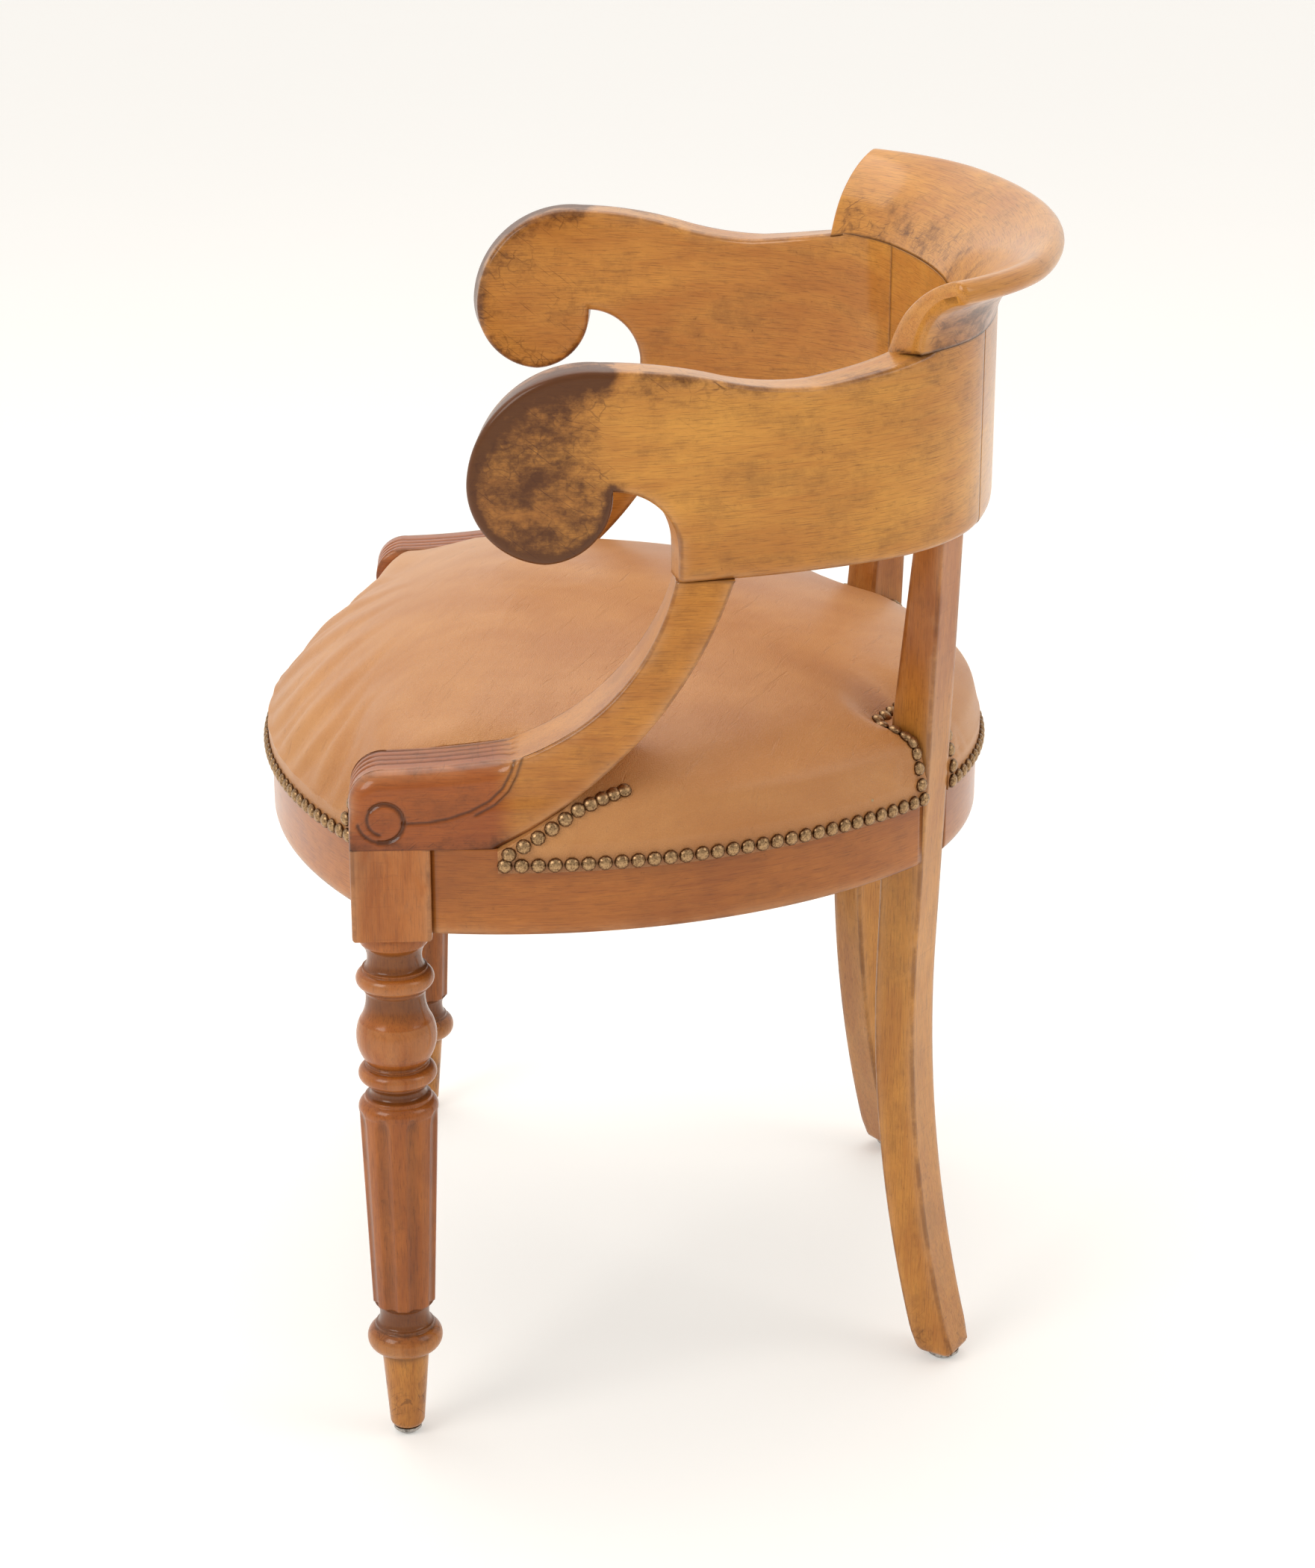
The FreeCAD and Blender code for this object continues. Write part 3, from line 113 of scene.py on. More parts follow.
# The front leg's turning from the middle of its foot to the middle of its collar: the radius and height where each
# run ends, how far the run is hollow (or swells, where negative), and its number of points.
TURNING_START = (0.5, FOOT)
TURNING = (
    (7.2, 5, 0, 5), (11.5, 10.5, -1.3, 9), (15.6, 62.5, 0, 27), (19.3, 63.5, 0, 5), (19.3, 80.5, -5.4, 30),
    (19.0, 82.5, 0, 5), (17.2, 84, 0.3, 6), (18.0, 97, 1.4, 16), (20.3, 98.5, 0, 6), (25.2, 236, 0, 120),
    (21.8, 245, -1.9, 22), (21.4, 247, 0, 5), (18.6, 248.2, 0, 5), (20.2, 255.5, 2.0, 14), (20.2, 257, 0, 4),
    (20.2, 268, -5.0, 26), (20.6, 269.5, 0, 4), (19.6, 271, 0.3, 5), (23.4, 300, -4.1, 36), (19.2, 319, 1.7, 20),
    (20.6, 321, 0, 4), (20.4, 322.5, 0, 4), (20.4, 334, -4.6, 26), (20.8, 336, 0, 4), (18.4, 337.5, 0.4, 6),
    (20.4, 352, 1.9, 18), (21.5, 353, 0, 4), (21.5, 362.4, -0.8, 8), (0.5, 362.4, 0, 6),
)
SHAFT_FOOT = 98
SHOULDER = 236
SHOULDER_RADIUS = 25.2
FLUTE_HEAD = 229
FLUTE_HEAD_RISE = 9.5

# Widths in millimetres over which a board's edges, its rim's edges and its seams differ from its faces.
RUBBED_WIDTH = 5.0
RIM_WIDTH = 4.0
SEAM_WIDTH = 0.7

# The seat cover.
SEAT_MIDDLE_Y = -85
SEAT_BASE = 427
SEAT_TOP = 519
HEM = 408.5
CROWN_RISE = (0, 0.28, 0.53, 0.74, 0.9, 1)
CROWN_SPREAD = (1, 0.98, 0.86, 0.64, 0.38, 0.13)
CROWN_FRONT = (1, 0.87, 0.715, 0.535, 0.33, 0.12)
SEAT_POINTS = 480
LEATHER_OUT = 2.2
SEAT_PRESSURE = 4.0
SWELL_LIMIT = 7.0
WOOD_GAP = 0.5
RAIL_REST = RAIL_TOP + 1.5
LEG_MIDDLE = 13
SUPPORT_BRIM = 472.4
STILE_BRIM = 459
SHARP_FOLD = np.radians(48)
HEM_RING = 9
NAIL_ROW = 413.5
NAIL_PITCH = 10.4
NAIL_GAP = 5.2
NAIL_STAND = 5.5
NAIL_SLOPE = (421, 477)
HEM_TRIM = 6.0

# The camera of the photograph and the stage, in metres, and the fixed tones of wear, frame and light.
CAMERA_PLACE = (2.2074, -0.092, 1.1684)
CAMERA_YAW = np.radians(2.472)
CAMERA_PITCH = np.radians(20.0)
FOCAL_PIXELS = 4483.65
PHOTO_HEIGHT = 2100
SENSOR = 36
FLOOR_HALF = 20.0
LAMP_AIM = (0.0, 0.0, 0.45)
RUBBED_WOOD = (0.6, 0.33, 0.16, 1)
ARRIS_WOOD = (0.13, 0.042, 0.013, 1)
SEAM_WOOD = (0.03, 0.012, 0.005, 1)
CREASE_SHADE_LEATHER = (0.22, 0.08, 0.028, 1)
HEM_DARK_LEATHER = (0.2, 0.075, 0.027, 1)
BROWN_BRASS = (0.13, 0.07, 0.035, 1)
STEEL = (0.45, 0.43, 0.4, 1), (0.1, 0.09, 0.08, 1)
BEECH = (0.5, 0.28, 0.12, 1), (0.36, 0.18, 0.07, 1)
JUTE = (0.5, 0.36, 0.2, 1), (0.3, 0.2, 0.1, 1)
LINEN = (0.12, 0.1, 0.085, 1), (0.05, 0.042, 0.036, 1)
WALL_LIGHT = (1.0, 0.98, 0.95, 1), (0.6, 0.585, 0.56, 1)
LAMP_COLOUR = (1.0, 0.97, 0.93)


# ------------------------------------------------------------------ curves


def stacked(*values):
    """Arrays side by side along a new last axis."""
    return np.stack(values, axis=-1)


def bow(start, end, rise=0.0, count=24):
    """Points from start to end on the arc whose middle stands `rise` to the left of its chord."""
    start = np.asarray(start, float)
    chord = np.asarray(end, float) - start
    share = np.linspace(0, 1, count)[:, None]
    if rise == 0:
        return start + chord * share
    length = np.hypot(*chord)
    radius = length**2 / (8 * abs(rise)) + abs(rise) / 2
    along = chord / length
    left = np.array([-along[1], along[0]]) * np.sign(rise)
    angle = np.arcsin(length / (2 * radius)) * (2 * share - 1)
    centre = start + chord / 2 - left * (radius - abs(rise))
    return centre + radius * (np.sin(angle) * along + np.cos(angle) * left)


def chain(*runs):
    """Runs of points end to end, each shared end kept once."""
    return np.concatenate([runs[0]] + [run[1:] for run in runs[1:]])


def lengths(points):
    """Distance along a chain of points from its first one."""
    return np.concatenate([[0], np.cumsum(np.linalg.norm(np.diff(points, axis=0), axis=1))])


def along(points, distance):
    """Points at given distances along a chain."""
    ruler = lengths(points)
    return stacked(*(np.interp(distance, ruler, values) for values in points.T))


def spaced(points, count):
    """A chain drawn again with evenly spaced points."""
    return along(points, np.linspace(0, lengths(points)[-1], count))


def distance_to(flat, chains):
    """Distance from each point of a flat grid to the nearest of several chains of straight pieces."""
    nearest = np.full(flat.shape[:-1], 1e6)
    for points in chains:
        start = points[:-1]
        step = points[1:] - start
        size = np.maximum((step**2).sum(-1), 1e-12)
        away = flat[..., None, :] - start
        share = np.clip((away * step).sum(-1) / size, 0, 1)
        nearest = np.minimum(nearest, np.linalg.norm(away - share[..., None] * step, axis=-1).min(-1))
    return nearest


def ease(value, low, high):
    """Smooth step from 0 at low to 1 at high."""
    share = np.clip((value - low) / (high - low), 0, 1)
    return share * share * (3 - 2 * share)


def bell(value, width):
    """1 at a value of 0, falling away smoothly over a width."""
    return np.exp(-((value / width) ** 2))


def not_below(value, floor, width):
    """The larger of a value and a floor, with the corner between them rounded over a width."""
    return width * np.logaddexp(value / width, floor / width)


def not_above(value, top, width):
    """The smaller of a value and a top, with the corner between them rounded over a width."""
    return -not_below(-value, -top, width)


def quarter_round(distance, radius):
    """How far a rounded edge has fallen at a distance from it."""
    return radius - np.sqrt(np.maximum(radius**2 - (radius - np.minimum(distance, radius)) ** 2, 0))


def normals_2d(points):
    """Unit normals to the right of a chain of plan points."""
    step = np.gradient(points, axis=0)
    step /= np.maximum(np.linalg.norm(step, axis=1, keepdims=True), 1e-9)
    return stacked(step[:, 1], -step[:, 0])


# ------------------------------------------------------------------ meshes


def quads(index, wrap=False):
    """Four-sided faces between neighbouring rows and columns of a grid of vertex numbers."""
    if wrap:
        index = np.concatenate([index, index[:, :1]], axis=1)
    return stacked(index[:-1, :-1], index[1:, :-1], index[1:, 1:], index[:-1, 1:]).reshape(-1, 4)


def shape(points, faces, **fields):
    """One surface: its points in millimetres, its faces, and what each point carries for the materials."""
    points = points.reshape(-1, 3)
    carried = {"grain": points} | {name: np.zeros(len(points)) for name in ("edge", "seam", "soot", "red")}
    for name, value in fields.items():
        carried[name] = value.reshape(len(points), -1).squeeze()
    return points, faces, carried


def joined(*shapes):
    """Several surfaces as one."""
    starts = np.cumsum([0] + [len(points) for points, _, _ in shapes])
    points = np.concatenate([points for points, _, _ in shapes])
    faces = np.concatenate([faces + start for (_, faces, _), start in zip(shapes, starts)])
    carried = {name: np.concatenate([fields[name] for _, _, fields in shapes]) for name in shapes[0][2]}
    return points, faces, carried


def mirrored(made):
    """The surface of the other side of the chair: x is turned about, and the grain starts elsewhere."""
    points, faces, carried = made
    carried = dict(carried)
    carried["grain"] = carried["grain"] + np.array([731.0, 57.0, 23.0])
    return points * FLIP, faces[:, ::-1], carried


def put(name, data):
    """A new object in the scene."""
    piece = bpy.data.objects.new(name, data)
    bpy.context.scene.collection.objects.link(piece)
    return piece


def make(name, made, material, slot, *nodes):
    """Puts a surface into a mesh object that rides on the chair and stands for its solid nodes."""
    points, faces, carried = made
    mesh = bpy.data.meshes.new(name)
    mesh.from_pydata(points * MM, [], faces)
    for field, value in carried.items():
        if value.ndim == 2:
            mesh.attributes.new(field, "FLOAT_VECTOR", "POINT").data.foreach_set("vector", (value * MM).ravel())
        else:
            mesh.attributes.new(field, "FLOAT", "POINT").data.foreach_set("value", value.ravel())
    work = bmesh.new()
    work.from_mesh(mesh)
    bmesh.ops.remove_doubles(work, verts=work.verts, dist=1e-6)
    bmesh.ops.dissolve_degenerate(work, edges=work.edges, dist=1e-7)
    bmesh.ops.recalc_face_normals(work, faces=work.faces)
    work.to_mesh(mesh)
    work.free()
    mesh.shade_smooth()
    mesh.materials.append(material)
    piece = put(name, mesh)
    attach(piece, "root")
    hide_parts(*nodes)
    return piece


def make_pair(name, left, material, slot):
    """The left piece and its mirror image on the right, each in place of its own solid."""
    for side, made in (("left", left), ("right", mirrored(left))):
        make(f"{name}_{side}_wood", made, material, slot, f"{name}_{side}")


def board(
    lower, upper, rows, place, radius, rounded, joints=(), rim_rows=3, thickness=30.0, relief=None, reeds=None,
    back_round=1.0,
):
    """A board sawn between two edge curves and carried into place.

    Its face is the ruled surface lower + (upper - lower) * share. The first face falls to the rim by
    radius - sqrt(radius^2 - (radius - d)^2), where d is the distance to a rounded edge, and the second face by
    back_round of that. joints are the edges that meet another piece, where a dark seam runs. relief gives the depth
    of carving in the first face and how dark it is, reeds that of the grooves along the rim, and
    place(across, up, face, depth) gives a point in the chair.
    """
    share = (1 - np.cos(np.linspace(0, np.pi, rows))) / 2
    flat = lower[:, None] + (upper - lower)[:, None] * share[None, :, None]
    count = len(lower)
    gap = distance_to(flat, rounded)
    soft = radius(flat) if callable(radius) else np.full(gap.shape, float(radius))
    seam = 0.5 * bell(distance_to(flat, joints), SEAM_WIDTH) if joints else np.zeros(gap.shape)
    fall = quarter_round(gap, soft)
    carved, inked = relief(flat) if relief else np.zeros((2, *gap.shape))
    worn = bell(gap, RUBBED_WIDTH)
    front = place(flat[..., 0], flat[..., 1], 0, fall + carved)
    back = place(flat[..., 0], flat[..., 1], 1, fall * back_round)
    side = np.arange(1, rows - 1)
    column = np.concatenate(
        [np.arange(count), np.full(rows - 2, count - 1), np.arange(count)[::-1], np.zeros(rows - 2, int)]
    )
    row = np.concatenate([np.zeros(count, int), side, np.full(count, rows - 1), side[::-1]])
    across = np.linspace(0, 1, rim_rows + 2)[1:-1, None]
    outline = flat[column, row]
    groove = reeds(outline, across) if reeds else np.zeros((rim_rows, len(column)))
    inward = -normals_2d(outline)
    sunk = outline + inward * groove[..., None]
    first = place(sunk[..., 0], sunk[..., 1], 0, fall[column, row])
    last = place(sunk[..., 0], sunk[..., 1], 1, fall[column, row] * back_round)
    rim = first + (last - first) * across[..., None]
    number = np.arange(count * rows).reshape(count, rows)
    strip = 2 * count * rows + np.arange(rim_rows * len(column)).reshape(rim_rows, len(column))
    strip = np.concatenate([number[column, row][None], strip, number[column, row][None] + count * rows])
    faces = np.concatenate([quads(number), quads(number)[:, ::-1] + count * rows, quads(strip, wrap=True)])
    sheet = stacked(flat[..., 0], flat[..., 1], np.zeros(gap.shape))
    deep = sheet + np.array([0, 0, thickness])
    rim_grain = sheet[column, row] + np.array([0, 0, thickness]) * across[..., None]
    rim_edge = np.maximum(bell(np.minimum(across, 1 - across) * thickness, RIM_WIDTH), 0.3) * np.ones(len(column))
    hollow = np.maximum(seam, np.clip(inked, 0, 0.75))
    rim_seam = np.clip(groove * 0.6, 0, 0.75)
    return shape(
        np.concatenate([front.reshape(-1, 3), back.reshape(-1, 3), rim.reshape(-1, 3)]),
        faces,
        grain=np.concatenate([sheet.reshape(-1, 3), deep.reshape(-1, 3), rim_grain.reshape(-1, 3)]),
        edge=np.concatenate([worn.ravel(), worn.ravel(), rim_edge.ravel()]),
        seam=np.concatenate([hollow.ravel(), seam.ravel(), rim_seam.ravel()]),
    )


# ------------------------------------------------------------------ the horseshoe


def wall_plan(turn, inset):
    """Plan of the horseshoe at an inset from its outer face, by how far the face's normal has turned from the
    back: centre + (radius - inset) * (sin turn, cos turn), with the centre and radius of the arc it is on."""
    bend = np.abs(turn)
    on_back = bend <= BACK_TURN
    on_corner = ~on_back & (bend <= CORNER_TURN)
    radius = np.where(on_corner, CORNER_RADIUS, BACK_RADIUS) - inset
    x = np.select([on_back, on_corner], [0.0, CORNER_CENTRE[0]], SIDE_CENTRE[0]) + radius * np.sin(bend)
    y = np.select([on_back, on_corner], [BACK_CENTRE_Y, CORNER_CENTRE[1]], SIDE_CENTRE[1]) + radius * np.cos(bend)
    return np.sign(turn) * x, y


def wall_run(points):
    """Side-view points (y, z) as (distance round the middle of the wall from the back, z)."""
    y = points[:, 0]
    joint = SIDE_CENTRE[1] + (BACK_RADIUS - MIDDLE) * np.cos(CORNER_TURN)
    side = np.arccos(np.clip((y - SIDE_CENTRE[1]) / (BACK_RADIUS - MIDDLE), -1, 1))
    corner = np.arccos(np.clip((y - CORNER_CENTRE[1]) / (CORNER_RADIUS - MIDDLE), -1, 1))
    return stacked(np.interp(np.where(y < joint, side, corner), TURN_KNOTS, RUN_KNOTS), points[:, 1])


def wall_place(run, height, face, depth):
    """A point of the wall by its run, height, face (0 outer, 1 inner) and depth under that face."""
    turn = np.sign(run) * np.interp(np.abs(run), RUN_KNOTS, TURN_KNOTS)
    x, y = wall_plan(turn, WALL_THICKNESS - depth if face else depth)
    return stacked(x, y, height + 0 * x)


def arm_shape():
    """One arm: its scroll, notch and long foot below, its rising and dipping top above, bent round the wall."""
    nose, chin, notch, notch_foot = (-121, 657), (-76, 605), (-36, 649), (3, 609)
    crown, slope, dip, crest_end = (-42, 723), (30, 713), (88, 706), (153, WALL_TOP)
    joint = RUN_KNOTS[1]
    below = [
        wall_run(bow(nose, chin, -14.5, 34)),
        wall_run(bow(chin, notch, -12.5, 30)),
        wall_run(bow(notch, notch_foot, 11.7, 26)),
        wall_run(bow(notch_foot, (3, WALL_BOTTOM), 0, 8)),
    ]
    below.append(bow(below[-1][-1], (joint, WALL_BOTTOM), 0, 90))
    lower = chain(*below)
    above = chain(
        wall_run(bow(nose, crown, 21.7, 160)),
        wall_run(bow(crown, slope, 2.2, 60)),
        wall_run(bow(slope, dip, -2.2, 60)),
        wall_run(bow(dip, crest_end, -1.0, 60)),
    )
    top_joint = bow(above[-1], (joint, WALL_TOP), 0, 30)
    upper = chain(above, top_joint)
    ruler = lengths(upper)
    facing = wall_run(np.array([[y, 0.0] for y in (-97, -45, 0, 8)]))[:, 0]
    stops = [0, *ruler[np.argmin(np.abs(upper[:, :1] - facing), axis=0)], ruler[-1]]
    marks = np.cumsum([0] + [len(run) - 1 for run in below])
    upper_even = along(upper, np.interp(np.arange(len(lower)), marks, stops))
    rounded = [lower, above]
    joints = [np.array([[joint, WALL_BOTTOM], [joint, WALL_TOP]]), top_joint]
    made = board(lower, upper_even, 40, wall_place, 4.0, rounded, joints, thickness=WALL_THICKNESS)
    # Dark polish lies over the scroll, in a band along its rim, and along the crown behind it.
    run, up, depth = made[2]["grain"].T
    ahead = run - lower[0, 0]
    rim = distance_to(made[2]["grain"][:, :2], [lower[:64:2], above[:160:4]])
    lobe = 0.6 * ease(ahead, -110, -50) + 0.2 * ease(ahead, -190, -90)
    band = (0.5 + 0.4 * ease(up, 640, 690)) * bell(rim, 5 + 5 * ease(up, 650, 695)) * ease(ahead, -120, -80)
    crown_line = 0.4 * bell(up - 714, 14) * (1 - ease(ahead, -130, -70))
    worn = np.minimum(lobe + band + crown_line, 1.15) * (1 - 0.5 * depth / WALL_THICKNESS)
    made[2]["soot"] = np.maximum(worn, 0.12)
    return made


def back_shape():
    """The back panel: a plain board round the middle arc, between the arms and under the crest."""
    run = RUN_KNOTS[1]
    lower = bow((run, WALL_BOTTOM), (-run, WALL_BOTTOM), 0, 90)
    upper = bow((run, WALL_TOP), (-run, WALL_TOP), 0, 90)
    ends = [bow((x, WALL_BOTTOM), (x, WALL_TOP), 0, 2) for x in (run, -run)]
    return board(lower, upper, 26, wall_place, 3.0, [lower[::8]], ends + [upper[::8]], thickness=WALL_THICKNESS)


def crest_shape(end_round=6.0, fine=400, points_round=76, rows=150):
    """The crest rail: a flaring section swept round the wall's arcs to two ends cut square to the wall.

    The section runs up the hollow outer side, over the lip and down the swelling inner side. Near the ends it
    shrinks along its normals as a quarter round, and its foot follows the arm's falling top. A ruled face between
    its two sides closes each end.
    """
    outer_joint, inner_joint = (0, WALL_TOP), (-WALL_THICKNESS, WALL_TOP)
    lip_under, lip_top = (38.5, 754), (32, CREST_TOP)
    section = chain(
        bow(outer_joint, lip_under, 9, 120), bow(lip_under, lip_top, -6, 40), bow(lip_top, inner_joint, -9, 160)
    )
    section = spaced(section, fine)
    soft = stacked(*(np.convolve(values, np.ones(17) / 17, "same") for values in section.T))
    keep = ease(np.minimum(np.arange(fine), np.arange(fine)[::-1]), 9, 40)[:, None]
    section = spaced(section + (soft - section) * keep, points_round)
    inward = -normals_2d(section)
    path = np.linspace(-1, 1, rows)
    path = 0.35 * np.sin(np.linspace(-np.pi / 2, np.pi / 2, rows)) + 0.65 * path
    reach = CREST_HALF * (1 - np.abs(path))
    shrink = quarter_round(reach, end_round)
    grown = section[None] + inward[None] * shrink[:, None, None]
    offset, height = grown[..., 0], np.maximum(grown[..., 1], WALL_TOP)
    end = np.radians(CREST_TURN + CREST_FLARE * (height - WALL_TOP) / (CREST_TOP - WALL_TOP))
    turn = path[:, None] * end
    x, y = wall_plan(turn, -offset)
    count = points_round
    drop = 4.5 * ease(-y, -153, -130) * (1 - ease(height, WALL_TOP, WALL_TOP + 26))
    body = stacked(x, y, height - drop)
    number = np.arange(rows * count).reshape(rows, count)
    across = np.linspace(0, 1, 14)[1:-1]
    half = count // 2
    points, faces = [body.reshape(-1, 3)], [quads(number, wrap=True)]
    used = rows * count
    for row in (0, -1):
        first, last = body[row, :half], body[row, ::-1][:half]
        inner = first[:, None] + (last - first)[:, None] * across[None, :, None]
        points.append(inner.reshape(-1, 3))
        cap = used + np.arange(inner.shape[0] * inner.shape[1]).reshape(inner.shape[:2])
        used += cap.size
        cap = np.concatenate([number[row, :half][:, None], cap, number[row, ::-1][:half][:, None]], axis=1)
        faces.append(quads(cap))
    points = np.concatenate(points)
    run = np.interp(np.abs(turn), TURN_KNOTS, RUN_KNOTS) * np.sign(turn)
    grain = stacked(run, height, offset).reshape(-1, 3)
    grain = np.concatenate([grain, points[rows * count :]])
    lip = bell(np.arange(count) - np.argmax(section[:, 1] + 0.3 * section[:, 0]), 5.0)
    edge = np.maximum(np.tile(lip, (rows, 1)) * 0.6, 0.3 * bell(reach - 2.5, 2.5)[:, None])
    edge = np.concatenate([edge.ravel(), np.full(used - rows * count, 0.2)])
    seam = bell(np.concatenate([height.ravel(), points[rows * count :, 2]]) - WALL_TOP, 0.9)
    # Dark polish and painted shade lie low on both sides, more on the outer one under the lip, and die away to the
    # lip and the ends.
    inside = np.where(np.arange(count) > 42, 0.35, 0.6)[None] * (1 - 0.85 * ease(height, 735, 760))
    # On the crest this darkening is painted shade under the lip as much as dark polish.
    soot = np.concatenate([(inside * ease(reach, 5, 30)[:, None] + 0.12).ravel(), np.full(used - rows * count, 0.15)])
    return shape(points, np.concatenate(faces), grain=grain, edge=edge, seam=seam, soot=soot)


# ------------------------------------------------------------------ supports, legs and rails


def support_rear(count):
    """The rear edge of an arm support, from the rail up to the arm."""
    return bow(SUPPORT_HEEL, SUPPORT_HEAD, SUPPORT_SWEEP, count)


def support_place(y, z, face, depth):
    """A point of the left arm support: its two faces close in as a shallow bow from the carved front to the head."""
    share = np.clip((z - CARVED_TOP) / (WALL_BOTTOM - CARVED_TOP), 0, 1)
    move = SUPPORT_TAPER[face] * share - SUPPORT_SWELL[face] * share * (1 - share) + depth
    return stacked(SUPPORT_INNER + move if face else SUPPORT_OUTER - move, y, z)


def support_relief(flat):
    """Depth of the carved lines on the outer face: a coil that opens clockwise round the front boss, and a line
    from it along the foot that climbs to a double collar."""
    share = np.linspace(0, 1, 90)[:, None]
    turn = np.radians(-105 - 425 * share)
    coil = np.array([-177.5, 442.5]) + (9.6 + 6.4 * share**1.6) * np.concatenate([np.cos(turn), np.sin(turn)], axis=1)
    line = [(-166, 440.5), (-150, 441), (-137, 443.5), (-124, 448), (-112, 454.5), (-103.5, 463), (-98.5, 473)]
    line = spaced(np.array(line + [(-96, 481), (-93, 490)]), 60)
    second = line[26:] + np.array([3.4, -2.6])
    deep = 1.8 * bell(distance_to(flat, [coil[24:76]]), 1.3)
    deep = np.maximum(deep, 1.2 * bell(distance_to(flat, [coil]), 0.9))
    deep += bell(distance_to(flat, [line]), 0.85) + 0.9 * bell(distance_to(flat, [second]), 0.85)
    behind = flat[..., 0] - np.interp(flat[..., 1], second[:, 1], second[:, 0])
    climb = ease(flat[..., 1], 446, 458)
    return deep + 1.8 * climb * ease(behind, -0.5, 1.5) * (1 - ease(behind, 8, 60)), deep


def support_round(flat):
    """Rounding of the support's edges: full along the carved front, slight along the swept part."""
    return 2.8 + 8.2 * (1 - ease(flat[..., 0], -108, CARVED_END)) * ease(flat[..., 1], 430, 452)


def support_reeds(outline, across):
    """Depth of the reeds' grooves along the top of the carved front and round its nose, on its inner half."""
    ahead = (1 - ease(outline[:, 0], -102, CARVED_END)) * ease(outline[:, 1], 428, 440)
    lines = bell(across - np.array([0.3, 0.52, 0.74, 0.95]), 0.035).sum(1, keepdims=True)
    return 1.3 * lines * ahead


def support_shape():
    """An arm support: a board with a carved scroll in front, swept up in two bows to the arm."""
    toe, chest, cuff, neck = (SUPPORT_NOSE, RAIL_TOP), (SUPPORT_NOSE, 447), (-176, 472.5), (-99, 479)
    head = (3, WALL_BOTTOM)
    lower = chain(bow(toe, SUPPORT_HEEL, 0, 120), support_rear(110))
    upper = chain(bow(chest, cuff, 8.5, 40), bow(cuff, neck, -1.2, 120), bow(neck, head, -20, 160))
    rounded = [chain(bow(toe, chest, 0, 4), spaced(upper, 90)), lower[119::3]]
    joints = [bow(head, SUPPORT_HEAD, 0, 2), bow(toe, SUPPORT_HEEL, 0, 2)]
    upper = along(upper, np.interp(np.arange(len(lower)), [0, 119, 228], [0, 128, lengths(upper)[-1]]))
    made = board(
        lower, upper, 84, support_place, support_round, rounded, joints,
        rim_rows=44, thickness=50, relief=support_relief, reeds=support_reeds, back_round=0.25,
    )
    across, up, _ = made[2]["grain"].T
    made[2]["soot"] = 0.3 * (1 - ease(across, -112, CARVED_END)) + 0.45 * bell(up - RAIL_TOP, 10)
    return made


def turned_profile():
    """Radius and height along the front leg's turning, as straight and bowed runs."""
    starts = [TURNING_START] + [(radius, height) for radius, height, _, _ in TURNING]
    return chain(*(bow(start, run[:2], *run[2:]) for start, run in zip(starts, TURNING)))


